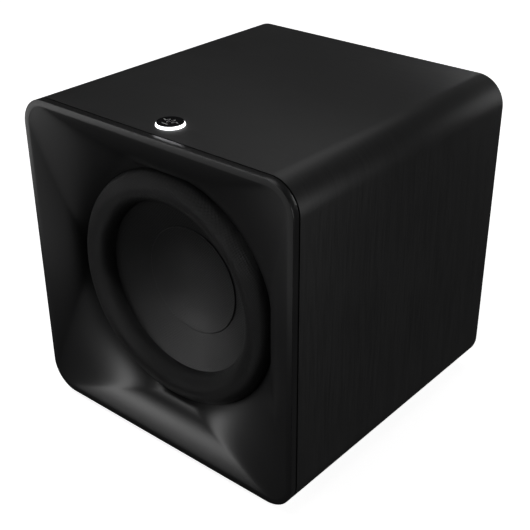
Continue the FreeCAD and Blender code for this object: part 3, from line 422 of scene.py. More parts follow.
@dataclass(frozen=True)
class Winding(Finish):
    """Enamelled wire, turn beside turn along one axis."""

    axis: int = 1
    pitch: float = 0.8 * MM

    def dress(self, graph: Graph) -> None:
        """Round wire wound turn by turn, with a painted highlight along each turn's crown and painted shade
        in the grooves between.
        """
        along = graph.axes()[self.axis]
        turn_relief_and_shade = (along * (math.pi / self.pitch)).sine().size()
        stain = graph.noise(60.0, 2.0)
        # Painted highlight on each turn's crown and painted shade in the grooves between; the stain noise is
        # real random tone.
        graph.set(
            base_color=graph.mix(turn_relief_and_shade * 0.7 + stain * 0.3, (0.28, 0.07, 0.02), (0.72, 0.3, 0.12)),
            roughness=0.42 - turn_relief_and_shade * 0.12,
            metallic=0.9,
        )
        graph.bump(turn_relief_and_shade, 0.0002)


@dataclass(frozen=True)
class Circuit(Finish):
    """A circuit board: solder mask over copper tracks."""

    def dress(self, graph: Graph) -> None:
        """Tracks as ridges of broken cells, slightly lighter and raised."""
        settings = {"feature": "DISTANCE_TO_EDGE", "distance": "EUCLIDEAN"}
        inputs = {"Vector": graph.place, "Scale": 160.0}
        cells = Value(graph, graph.node("ShaderNodeTexVoronoi", settings, inputs).outputs["Distance"])
        tracks = 1 - cells.step(0.03, 0.07)
        haze = graph.noise(300.0, 1.0)
        graph.set(
            base_color=graph.mix(tracks, (0.008, 0.06, 0.025), (0.03, 0.17, 0.07)),
            roughness=0.3 + haze * 0.15,
        )
        graph.bump(tracks, 0.00005)


@dataclass(frozen=True)
class Cloth(Finish):
    """Woven or felted cloth."""

    dark: Colour = (0.35, 0.23, 0.08)
    light: Colour = (0.6, 0.42, 0.18)
    pitch: float = 0.9 * MM

    def dress(self, graph: Graph) -> None:
        """Open weave with fuzzy yarn, with a painted highlight on the yarn and painted shade in the gaps
        between.
        """
        across, _, up = graph.axes()
        warp = (across * (math.pi / self.pitch)).sine().size()
        weft = (up * (math.pi / self.pitch)).sine().size()
        fuzz = graph.noise(1500.0, 3.0)
        thread_relief_and_shade = (warp + weft) * 0.4 + fuzz * 0.2
        # The base colour is a painted highlight on the yarn and painted shade in the gaps between; the fuzz
        # is real random tone.
        graph.set(
            base_color=graph.mix(thread_relief_and_shade, self.dark, self.light),
            roughness=0.85,
            sheen_weight=0.2,
        )
        graph.bump(thread_relief_and_shade, 0.0002)


@dataclass(frozen=True)
class Glow(Finish):
    """Milky diffuser lit from behind."""

    strength: float = 2.6

    def dress(self, graph: Graph) -> None:
        """Even light with faint streaks where the diodes sit."""
        streaks = graph.noise(260.0, 1.0)
        colour = graph.mix(streaks, (0.93, 0.95, 1.0), (1.0, 1.0, 1.0))
        graph.set(
            base_color=(0.9, 0.9, 0.9),
            emission_color=colour,
            emission_strength=self.strength,
            roughness=0.35 + streaks * 0.1,
        )


@dataclass(frozen=True)
class ClearLens(Finish):
    """Clear moulded light pipe with a faint glow."""

    def dress(self, graph: Graph) -> None:
        """Slightly milky plastic."""
        haze = graph.noise(900.0, 1.0)
        graph.set(
            base_color=graph.mix(haze, (0.62, 0.68, 0.75), (0.8, 0.85, 0.9)),
            roughness=0.12 + haze * 0.1,
            emission_color=(0.35, 0.6, 1.0),
            emission_strength=0.6,
        )


VINYL = AshVinyl("ash_vinyl", "vinyl_black")
MOULDING = SatinMoulding("satin_moulding", "moulding_black")
RUBBER = LatticeRubber("lattice_rubber", "rubber_black")
FIBRE = WovenFibre("woven_fibre", "cone_black")
BOARD = RawBoard("raw_board", "board_raw")
BLACK_BOARD = Coat("sprayed_board", "board_black", grey(0.009), grey(0.016), 0.55, grain=700.0)
PANEL = SatinMoulding(
    "panel_moulding", "panel_black", (0.012, 0.012, 0.0125), grey(0.018), 0.5, 1500.0, 0.00006
)
CONTROL = SatinMoulding(
    "control_moulding", "control_plastic", (0.01, 0.01, 0.0105), grey(0.016), 0.34, 3000.0
)
FOAM = Coat(
    "closed_cell_foam", "foam_black", grey(0.008), grey(0.022), 0.85, grain=1500.0, relief=0.00015
)
OXIDE = Coat("black_oxide", "screw_black", grey(0.02), grey(0.05), 0.38, 0.7, 1200.0)
BASKET = Coat(
    "powder_coat", "basket_black", grey(0.012), grey(0.024), 0.5, grain=1800.0, relief=0.00008
)
ZINC = Coat(
    "zinc_plate", "steel_plated", (0.36, 0.36, 0.35), (0.6, 0.6, 0.58), 0.34, 0.95, 260.0, (1.0, 0.1, 1.0)
)
FERRITE = Coat(
    "ground_ferrite", "ferrite", (0.03, 0.03, 0.033), (0.08, 0.08, 0.085), 0.6, 0.1, 900.0, relief=0.00006
)
COPPER = Winding("copper_winding", "copper_wire")
FOIL = Coat(
    "former_foil", "former_film", grey(0.45), grey(0.65), 0.3, 0.95, 900.0, (1.0, 0.08, 1.0)
)
SPIDER_CLOTH = Cloth("resin_cloth", "spider_cloth")
WADDING = Cloth(
    "polyester_wadding", "wadding_white", (0.6, 0.6, 0.57), (0.85, 0.85, 0.82), 3.0 * MM
)
LEAD = Coat(
    "lead_sleeve", "lead_red_black", (0.02, 0.012, 0.012), (0.05, 0.02, 0.02), 0.5, grain=1200.0
)
TINSEL = Winding("tinsel_braid", "tinsel", 2, 0.6 * MM)
PCB = Circuit("circuit_board", "circuit_green")
HEAT_SINK = Coat(
    "black_anodised", "heat_sink_black", (0.012, 0.012, 0.013), (0.03, 0.03, 0.032), 0.4, 0.8, 1200.0
)
CAN = Coat(
    "capacitor_sleeve", "can_black", (0.01, 0.012, 0.03), (0.02, 0.022, 0.05), 0.3, grain=400.0
)
GOLD = Coat(
    "gold_plate", "gold_plate", (0.62, 0.4, 0.12), (0.9, 0.64, 0.25), 0.2, 1.0, 700.0, (1.0, 0.2, 1.0)
)
NICKEL = Coat(
    "nickel_plate", "nickel_plate", (0.5, 0.49, 0.46), (0.72, 0.7, 0.67), 0.2, 1.0, 700.0, (1.0, 0.2, 1.0)
)
LENS = ClearLens("clear_pipe", "lens_clear")
BADGE_DARK = Coat(
    "badge_lacquer", "badge_black", (0.004, 0.004, 0.0045), (0.008, 0.008, 0.009), 0.08,
    grain=300.0, relief=0.000004
)
BADGE_SILVER = Coat("badge_silver", "badge_black", (0.62, 0.62, 0.63), grey(0.82), 0.4, 0.15, 900.0)
GLOW = Glow("badge_diffuser", "badge_glow")
PRINT = Coat("white_print", "panel_black", grey(0.5), grey(0.66), 0.6, grain=2200.0)
RED_RING = Coat(
    "red_insulator", "control_plastic", (0.28, 0.012, 0.01), (0.42, 0.02, 0.016), 0.35, grain=900.0
)
WHITE_RING = Coat(
    "white_insulator", "control_plastic", (0.55, 0.55, 0.53), (0.7, 0.7, 0.68), 0.35, grain=900.0
)


# ---------------------------------------------------------------- shapes

LOW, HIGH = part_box("vinyl_wrap")
CENTRE = Vector(((LOW.x + HIGH.x) / 2, 0.0, (LOW.z + HIGH.z) / 2))
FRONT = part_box("front_flare")[0].y


@dataclass(frozen=True)
class Station:
    """One place along a turned section: depth behind the front, distance from the axis, corner radius, mm."""

    depth: float
    half: float
    corner: float


def squared_radius(angle: float, half: float, corner: float) -> float:
    """How far a rounded square's outline is from its middle.

    Args:
        angle: Direction from the middle, in radians.
        half: Half of the square's width.
        corner: Radius of its corners.

    Returns:
        The distance, in the unit of half.
    """
    short, long = sorted((abs(math.cos(angle)), abs(math.sin(angle))))
    inner = half - corner
    if half / long * short <= inner:
        return half / long
    total = short + long
    return inner * total + math.sqrt(max(0.0, (inner * total) ** 2 - 2 * inner**2 + corner**2))


class Shape:
    """A mesh in the making, in millimetres about its own origin until it is placed."""

    def __init__(self) -> None:
        """Starts empty."""
        self.mesh = bmesh.new()

    def turned(self, section: Sequence[tuple[float, float]], steps: int, axis: Axis = Axis.Y) -> "Shape":
        """Spins a closed section into a full ring or disc.

        Args:
            section: Corners as (place along the axis, distance from it), with a repeat of the first left out.
            steps: How many steps the full turn takes.
            axis: What it turns about.

        Returns:
            This shape.
        """
        verts = []
        for along, out in section:
            place = (out, along, 0.0) if axis is Axis.Y else (out, 0.0, along)
            verts.append(self.mesh.verts.new(place))
        pairs = zip(verts, verts[1:] + verts[:1])
        edges = [self.mesh.edges.new(pair) for pair in pairs if not self.on_axis(pair, axis)]
        bmesh.ops.spin(
            self.mesh, geom=verts + edges, cent=(0, 0, 0), axis=axis.value, angle=TURN, steps=steps,
            use_merge=True,
        )
        bmesh.ops.remove_doubles(self.mesh, verts=self.mesh.verts[:], dist=1e-5)
        return self

    @staticmethod
    def on_axis(pair: Sequence[bmesh.types.BMVert], axis: Axis) -> bool:
        """Whether an edge lies on the axis, where it would spin into nothing."""
        centre = Vector(axis.value)
        return all((vert.co - centre * vert.co.dot(centre)).length < 1e-6 for vert in pair)

    def plate(
        self, width: float, height: float, thick: float, corner: float = 0.0, segments: int = 8
    ) -> "Shape":
        """Adds a plate in the XZ plane, from y = 0 to y = thick, with rounded corners."""
        made = bmesh.ops.create_grid(self.mesh, x_segments=1, y_segments=1, size=0.5)["verts"]
        bmesh.ops.scale(self.mesh, vec=(width, height, 1), verts=made)
        bmesh.ops.rotate(self.mesh, cent=(0, 0, 0), matrix=Matrix.Rotation(math.pi / 2, 3, "X"), verts=made)
        if corner:
            bmesh.ops.bevel(
                self.mesh, geom=made, offset=corner, segments=segments, profile=0.5, affect="VERTICES",
                material=-1,
            )
        return self.thicken(Vector((0, thick, 0)))

    def thicken(self, way: Vector) -> "Shape":
        """Turns this shape's flat faces into closed plates that reach along a way."""
        made = bmesh.ops.extrude_face_region(self.mesh, geom=self.mesh.faces[:], use_keep_orig=True)["geom"]
        raised = [part for part in made if isinstance(part, bmesh.types.BMVert)]
        bmesh.ops.translate(self.mesh, vec=way, verts=raised)
        return self

    def add(self, part: "Shape") -> "Shape":
        """Takes in another shape, which is used up."""
        data = bpy.data.meshes.new("part")
        part.mesh.to_mesh(data)
        part.mesh.free()
        self.mesh.from_mesh(data)
        bpy.data.meshes.remove(data)
        return self

    def move(self, x: float = 0.0, y: float = 0.0, z: float = 0.0) -> "Shape":
        """Moves this shape."""
        bmesh.ops.translate(self.mesh, vec=(x, y, z), verts=self.mesh.verts)
        return self

    def turn(self, degrees: float, axis: str) -> "Shape":
        """Turns this shape about an axis through the origin."""
        matrix = Matrix.Rotation(math.radians(degrees), 3, axis)
        bmesh.ops.rotate(self.mesh, cent=(0, 0, 0), matrix=matrix, verts=self.mesh.verts)
        return self

    def reshape(self, rule: Callable[[Vector], Vector]) -> "Shape":
        """Puts each vertex where a rule says."""
        for vert in self.mesh.verts:
            vert.co = rule(vert.co)
        return self

    def soften(self, width: float, segments: int = 2, angle: float = 35.0) -> "Shape":
        """Rounds the edges that are sharper than an angle, in degrees."""
        limit = math.radians(angle)
        sharp = [e for e in self.mesh.edges if len(e.link_faces) == 2 and e.calc_face_angle(0.0) > limit]
        bmesh.ops.bevel(
            self.mesh, geom=sharp, offset=width, segments=segments, profile=0.5, affect="EDGES",
            clamp_overlap=True, material=-1,
        )
        return self

    def finish(
        self,
        name: str,
        body: Body | None,
        finish: Finish,
        place: Point = (0.0, 0.0, 0.0),
        replaces: Sequence[str] = (),
        sharp: float = 35.0,
        flat: float = math.inf,
    ) -> bpy.types.Object:
        """Makes the piece.

        Args:
            name: The piece's name.
            body: The body that it rides on, or None to leave it on no body.
            finish: Its finish.
            place: Where its origin goes, in metres.
            replaces: CAD nodes that it stands for.
            sharp: Edges above this angle, in degrees, stay sharp.
            flat: Faces above this area, in mm2, are shaded flat.

        Returns:
            The object.
        """
        bmesh.ops.recalc_face_normals(self.mesh, faces=self.mesh.faces[:])
        for face in self.mesh.faces:
            face.smooth = face.calc_area() < flat
        bmesh.ops.scale(self.mesh, vec=(MM, MM, MM), verts=self.mesh.verts)
        bmesh.ops.translate(self.mesh, vec=place, verts=self.mesh.verts)
        limit = math.radians(sharp)
        for edge in self.mesh.edges:
            edge.smooth = len(edge.link_faces) == 2 and edge.calc_face_angle(0.0) < limit
        data = bpy.data.meshes.new(name)
        self.mesh.to_mesh(data)
        self.mesh.free()
        piece = bpy.data.objects.new(name, data)
        bpy.context.scene.collection.objects.link(piece)
        data.materials.append(finish.material())
        if body:
            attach(piece, body.value)
        if replaces:
            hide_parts(*replaces)
        LOG.info("%s: %d faces", name, len(data.polygons))
        return piece


def squared_ring(stations: Sequence[Station], steps: int) -> Shape:
    """Spins a closed section, then draws each ring of it out to its own rounded square.

    Args:
        stations: The section's corners, in order.
        steps: How many steps the full turn takes.

    Returns:
        The shape, with its depth along Y and its middle at the origin.
    """
    shape = Shape()
    layer = shape.mesh.verts.layers.int.new("station")
    verts = [shape.mesh.verts.new((station.half, station.depth, 0.0)) for station in stations]
    for number, vert in enumerate(verts):
        vert[layer] = number
    edges = [shape.mesh.edges.new(pair) for pair in zip(verts, verts[1:] + verts[:1])]
    bmesh.ops.spin(
        shape.mesh, geom=verts + edges, cent=(0, 0, 0), axis=Axis.Y.value, angle=TURN, steps=steps,
        use_merge=True,
    )
    bmesh.ops.remove_doubles(shape.mesh, verts=shape.mesh.verts[:], dist=1e-5)
    for vert in shape.mesh.verts:
        station = stations[vert[layer]]
        angle = math.atan2(vert.co.z, vert.co.x)
        out = squared_radius(angle, station.half, station.corner)
        vert.co = (out * math.cos(angle), station.depth, out * math.sin(angle))
    return shape


def merged_copy(node: str) -> Shape:
    """A copy of a CAD node with its doubled vertices merged, in millimetres in the row frame."""
    shape = Shape()
    shape.mesh.from_mesh(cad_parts[node].data)
    bmesh.ops.scale(shape.mesh, vec=(1 / MM, 1 / MM, 1 / MM), verts=shape.mesh.verts)
    bmesh.ops.remove_doubles(shape.mesh, verts=shape.mesh.verts[:], dist=1e-3)
    return shape


def softened_copy(node: str, width: float, segments: int = 2) -> Shape:
    """A merged copy of a CAD node with its edges rounded.

    Args:
        node: The CAD node.
        width: How wide the rounding is, in mm.
        segments: How many faces it has across.

    Returns:
        The shape, in millimetres in the row frame.
    """
    shape = merged_copy(node)
    bmesh.ops.dissolve_limit(
        shape.mesh, angle_limit=math.radians(0.5), verts=shape.mesh.verts[:], edges=shape.mesh.edges[:]
    )
    return shape.soften(width, segments)


# ---------------------------------------------------------------- cabinet


@dataclass
class Cabinet:
    """The wrapped box: the vinyl skin and the boards that show at its ends."""

    half: float = 160.0
    corner: float = 29.0
    skin: float = 0.4
    front: float = 8.4
    back: float = 320.0
    fold: float = 0.3
    steps: int = 720

    def build(self) -> None:
        """Builds the wrap and dresses the boards."""
        self.build_wrap()
        dress("cabinet_shell", BOARD)
        dress("window_brace", BOARD)
        dress("driver_board", BLACK_BOARD)
        dress("rear_board", BLACK_BOARD)
        dress("wadding", WADDING)

    def build_wrap(self) -> None:
        """The vinyl skin, folded over tightly at its front and back edges."""
        inner, fold = self.half - self.skin, self.fold
        half_fold = fold * (1 - math.sqrt(0.5))
        outline = [
            (self.front, inner),
            (self.front, self.half - fold),
            (self.front + half_fold, self.half - half_fold),
            (self.front + fold, self.half),
            (self.back - fold, self.half),
            (self.back - half_fold, self.half - half_fold),
            (self.back, self.half - fold),
            (self.back, inner),
        ]
        stations = [Station(depth, half, self.corner - self.half + half) for depth, half in outline]
        shape = squared_ring(stations, self.steps)
        shape.finish("wrap", Body.CABINET, VINYL, (CENTRE.x, FRONT, CENTRE.z), ["vinyl_wrap"], sharp=60)


@dataclass
class FrontMoulding:
    """The flared front: side wall, flat rim, square-to-round flare and the plug that enters the cabinet."""

    half: float = 160.0
    corner: float = 29.0
    wall_depth: float = 6.8
    gap: float = 1.6
    gap_inset: float = 4.0
    rim: float = 6.2
    edge: float = 0.5
    lip_edge: float = 0.35
    knee_half: float = 119.8
    knee_depth: float = 11.1
    throat: float = 117.4
    throat_depth: float = 28.0
    skin: float = 3.5
    plug_inset: float = 15.8
    plug_depth: float = 36.5
    flare_steps: int = 40
    edge_steps: int = 4
    steps: int = 720

    def flare(self, share: float) -> Station:
        """The flare's section at a share from 0 at the mouth to 1 at the throat."""
        ends = ((1 - share) ** 2, 2 * share * (1 - share), share**2)
        mouth = self.half - self.rim
        half = ends[0] * mouth + ends[1] * self.knee_half + ends[2] * self.throat
        depth = ends[1] * self.knee_depth + ends[2] * self.throat_depth
        return Station(depth, half, (1 - share) * (self.corner - self.rim) + share * half)

    def rounded(self, turn_from: float, middle: tuple[float, float], radius: float) -> list[Station]:
        """A quarter-round edge about a middle (depth, half), turning from a direction in degrees."""
        found = []
        for step in range(self.edge_steps + 1):
            angle = math.radians(turn_from + 90 * step / self.edge_steps)
            depth = middle[0] - radius * math.sin(angle)
            half = middle[1] + radius * math.cos(angle)
            found.append(Station(depth, half, self.corner - self.half + half))
        return found

    def build(self) -> None:
        """Builds the moulding as one closed piece."""
        rim_inner = self.half - self.rim
        stations = [Station(self.wall_depth, self.half - 0.2, self.corner - 0.2)]
        stations += [Station(self.wall_depth - 0.2, self.half, self.corner)]
        stations += self.rounded(0, (self.edge, self.half - self.edge), self.edge)
        for depth, out in ((0, self.lip_edge), (0.04, self.lip_edge * 0.4)):
            stations += [Station(depth, rim_inner + out, self.corner - self.rim + out)]
        stations += [self.flare(step / self.flare_steps) for step in range(1, self.flare_steps + 1)]
        throat = self.throat
        stations += [
            Station(self.throat_depth + 0.3, throat + 0.15, throat + 0.15),
            Station(self.throat_depth + 0.5, throat + 0.6, throat + 0.6),
            Station(self.throat_depth + 0.5, throat + self.skin, throat + self.skin),
        ]
        bore = self.half - self.plug_inset - self.skin
        stations += [
            Station(self.throat_depth - 6, throat + self.skin, throat * 0.8),
            Station(self.throat_depth - 14, bore, self.corner),
            Station(self.plug_depth, bore, self.corner - self.plug_inset),
            Station(self.plug_depth, bore + self.skin, self.corner - self.plug_inset),
            Station(self.wall_depth + self.gap, bore + self.skin, self.corner - self.plug_inset),
            Station(self.wall_depth + self.gap, self.half - self.gap_inset, self.corner - self.gap_inset),
            Station(self.wall_depth, self.half - self.gap_inset, self.corner - self.gap_inset),
        ]
        shape = squared_ring(stations, self.steps)
        place = (CENTRE.x, FRONT, CENTRE.z)
        shape.finish("front_moulding", Body.CABINET, MOULDING, place, ["front_flare"], sharp=50)
        dress("flare_screws", OXIDE)
        dress("throat_seal", FOAM)


# ---------------------------------------------------------------- driver


@dataclass
class Driver:
    """The driver: the surround, cone and cap that show, and the parts behind them."""

    roll_centre: float = 101.7
    roll_depth: float = 31.0
    roll: float = 15.4
    rubber: float = 1.2
    lip: float = 119.9
    foot_lip: float = 7.0
    cone_edge: float = 86.2
    cone_depth: float = 33.0
    slope: float = 0.515
    cone_thick: float = 1.1
    cone_bow: float = 0.6
    neck: float = 25.7
    cap: float = 53.5
    cap_sink: float = 12.0
    cap_thick: float = 0.8
    bead: float = 0.5
    spider_depth: float = 72.6
    spider_inner: float = 25.8
    spider_outer: float = 78.0
    spider_wave: float = 2.0
    lead_inner: float = 48.0
    lead_outer: float = 84.0
    steps: int = 360
    place: Point = field(default_factory=lambda: (CENTRE.x, FRONT, CENTRE.z))

    def cone_front(self, radius: float) -> float:
        """Depth of the cone's front face at a radius."""
        return self.cone_depth + (self.cone_edge - radius) * self.slope

    def arc(self, middle: tuple[float, float], radius: float, start: float, end: float, steps: int) -> list:
        """Points (depth, radius) on an arc; 0 degrees points away from the axis and 90 to the front."""
        points = []
        for step in range(steps + 1):
            angle = math.radians(start + (end - start) * step / steps)
            points.append((middle[0] - radius * math.sin(angle), middle[1] + radius * math.cos(angle)))
        return points

    def ring(self, section: Sequence[tuple[float, float]]) -> Shape:
        """Spins a section whose way across, in metres, is kept on the mesh as the attribute across."""
        shape = Shape()
        shape.turned(section, self.steps)
        layer = shape.mesh.verts.layers.float.new("across")
        ways = [0.0]
        for first, second in zip(section, section[1:]):
            ways.append(ways[-1] + math.dist(first, second))
        for vert in shape.mesh.verts:
            place = (vert.co.y, math.hypot(vert.co.x, vert.co.z))
            nearest = min(range(len(section)), key=lambda number: math.dist(section[number], place))
            vert[layer] = ways[nearest] * MM
        return shape

    def build(self) -> None:
        """Builds the parts that show and dresses the rest."""
        self.build_surround()
        self.build_cone()
        self.build_cap()
        self.build_spider()
        self.build_leads()
        for node, finish in (
            ("driver_basket", BASKET), ("driver_seal", FOAM), ("driver_screws", OXIDE), ("top_plate", ZINC),
            ("magnet_ring", FERRITE), ("pole_yoke", ZINC), ("coil_former", FOIL), ("voice_coil", COPPER),
            ("terminal_block", CONTROL), ("speaker_leads", LEAD),
        ):
            dress(node, finish)

    def build_surround(self) -> None:
        """Half-roll surround with its outer lip, and an inner lip behind the cone's edge."""
        middle = (self.roll_depth, self.roll_centre)
        inner = self.roll - self.rubber
        foot = self.roll_centre - self.roll
        gap = self.cone_thick + 0.1
        lip_end = foot - self.foot_lip
        section = [(self.roll_depth, self.lip), (self.roll_depth - self.rubber, self.lip)]
        section += self.arc(middle, self.roll, 5, 180, 44)
        section += [
            (self.cone_front(foot) + gap, foot),
            (self.cone_front(lip_end) + gap, lip_end),
            (self.cone_front(lip_end) + gap + self.rubber, lip_end),
            (self.cone_front(foot) + gap + self.rubber, foot + self.rubber),
        ]
        section += self.arc(middle, inner, 180, 0, 30)
        shape = self.ring(section)
        piece = shape.finish("roll_surround", None, RUBBER, self.place, ["surround"])
        self.flex(piece, foot * MM, (self.roll_centre + self.roll) * MM)

    def flex(self, piece: bpy.types.Object, inner: float, outer: float) -> None:
        """Bakes a ring's placement into its mesh and works out a share for each vertex between its inner and
        outer radius, which is then thrown away.
        """
        centre = Vector(self.place)
        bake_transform(piece)
        for vert in piece.data.vertices:
            out = math.hypot(vert.co.x - centre.x, vert.co.z - centre.z)
            share = min(1.0, max(0.0, (outer - out) / (outer - inner)))
            share * share * (3 - 2 * share)

    def build_cone(self) -> None:
        """Cone with a faintly bowed face, its rounded edge and its neck."""
        span = self.cone_edge - self.neck
        front = []
        for step in range(25):
            share = step / 24
            radius = self.cone_edge - span * share
            front.append((self.cone_front(radius) + self.cone_bow * math.sin(math.pi * share), radius))
        back = [(depth + self.cone_thick, radius) for depth, radius in reversed(front)]
        neck_end = self.cone_front(self.neck) + 5
        section = front + [(neck_end, self.neck), (neck_end, self.neck + 1)] + back[1:]
        self.ring(section).finish("woven_cone", Body.CONE, FIBRE, self.place, ["cone"])

    def build_cap(self) -> None:
        """Inverted dust cap: a shallow dish with a thin rolled rim, closed at the axis."""
        rim = self.cone_front(self.cap) - self.bead * 0.2
        bow = (self.cap**2 + self.cap_sink**2) / (2 * self.cap_sink)
        front = []
        for step in range(25):
            radius = self.cap * step / 24
            sunk = math.sqrt(bow**2 - radius**2) - (bow - self.cap_sink)
            front.append((rim - self.cap_thick + sunk, radius))
        edge = self.arc((rim - self.cap_thick / 2, self.cap), self.bead, 150, -60, 6)
        back = [(depth + self.cap_thick, radius) for depth, radius in reversed(front)]
        section = front + edge + back
        self.ring(section).finish("dished_cap", Body.CONE, FIBRE, self.place, ["dust_cap"])

    def build_spider(self) -> None:
        """Corrugated spider behind the cone."""
        front = []
        span = self.spider_outer - self.spider_inner
        for step in range(61):
            share = step / 60
            fade = math.sin(math.pi * share) ** 0.5 if 0 < share < 1 else 0.0
            wave = self.spider_wave * math.sin(share * TURN * 6) * fade
            front.append((self.spider_depth + wave, self.spider_inner + span * share))
        back = [(depth + 0.6, radius) for depth, radius in reversed(front)]
        shape = self.ring(front + back)
        piece = shape.finish("corrugated_spider", None, SPIDER_CLOTH, self.place, ["spider"])
        self.flex(piece, self.spider_inner * MM, self.spider_outer * MM)

    def build_leads(self) -> None:
        """Braided leads that run from the cone at their inner ends to the terminals at their outer ends."""
        shape = merged_copy("tinsel_leads")
        piece = shape.finish("braided_leads", None, TINSEL, replaces=["tinsel_leads"], sharp=60)
        self.flex(piece, self.lead_inner * MM, self.lead_outer * MM)


# ---------------------------------------------------------------- badge


@dataclass
class Badge:
    """The lit badge on the top: diffuser ring, lacquered disc and a silver wave inlaid in it."""

    ring: float = 13.0
    ring_top: float = 12.4
    height: float = 2.4
    disc: float = 12.0
    disc_thick: float = 0.8
    stroke: float = 0.7
    mark_reach: float = 8.6
    mark_swing: float = 4.2
    mark_half_waves: float = 3.5
    mark_lift: float = 0.8
    bar_width: float = 6.5
    bar_drop: float = 6.6
    steps: int = 128

    def build(self) -> None:
        """Builds the ring, the disc and its mark."""
        low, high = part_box("badge_light_ring")
        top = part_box("vinyl_wrap")[1].z
        place = ((low.x + high.x) / 2, (low.y + high.y) / 2, top)
        high, out = self.height, self.ring_top
        ring = [(0.0, 0.0), (0.0, self.ring - 0.2), (0.2, self.ring), (high - 0.5, out + 0.1)]
        ring += [(high - 0.1, out - 0.1), (high, out - 0.4), (high, 0.0)]
        shape = Shape().turned(ring, self.steps, Axis.Z)
        shape.finish("lit_ring", Body.CABINET, GLOW, place, ["badge_light_ring"])
        self.build_disc(place)
        self.build_mark(place)
        dress("badge_board", PCB)
        dress("badge_lead", LEAD)

    def build_disc(self, place: Point) -> None:
        """Lacquered disc with a rounded edge and a faintly sunk face."""
        low, high = self.height, self.height + self.disc_thick
        section = [(low, 0.0), (low, self.disc - 0.1), (low + 0.1, self.disc)]
        for step in range(5):
            angle = math.pi / 2 * step / 4
            section.append((high - 0.35 + 0.35 * math.sin(angle), self.disc - 0.35 + 0.35 * math.cos(angle)))
        section += [(high - 0.12, self.disc - 1.1), (high - 0.12, 0.0)]
        shape = Shape().turned(section, self.steps, Axis.Z)
        shape.finish("badge_face", Body.CABINET, BADGE_DARK, place, ["badge_disc"])

    def build_mark(self, place: Point) -> None:
        """A generic sound wave: one strip of silver that swells in the middle, and a short bar under it."""
        shape = Shape()
        top = self.height + self.disc_thick - 0.14

        def wave(spot: Vector) -> Vector:
            """Lifts the strip into a wave that dies out at both ends."""
            along = spot.x / self.mark_reach
            swell = math.cos(along * math.pi / 2) ** 2
            swing = self.mark_swing * swell * math.sin(along * self.mark_half_waves * math.pi)
            return Vector((spot.x, spot.y + swing + self.mark_lift, spot.z))

        strip = bmesh.ops.create_grid(shape.mesh, x_segments=160, y_segments=1, size=0.5)["verts"]
        bmesh.ops.scale(shape.mesh, vec=(2 * self.mark_reach, self.stroke, 1), verts=strip)
        shape.reshape(wave)
        bar = Shape()
        made = bmesh.ops.create_grid(bar.mesh, x_segments=1, y_segments=1, size=0.5)["verts"]
        bmesh.ops.scale(bar.mesh, vec=(self.bar_width, self.stroke, 1), verts=made)
        shape.add(bar.move(y=-self.bar_drop)).thicken(Vector((0, 0, 0.1))).move(z=top)
        shape.finish("badge_mark", Body.CABINET, BADGE_SILVER, place)


# ---------------------------------------------------------------- helpers for the CAD nodes


def dress(node: str, finish: Finish) -> None:
    """Gives a CAD node that stays in view its finish."""
    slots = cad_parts[node].data.materials
    slots.clear()
    slots.append(finish.material())
    LOG.info("%s: dressed in %s", node, finish.name)


# ---------------------------------------------------------------- rear panel


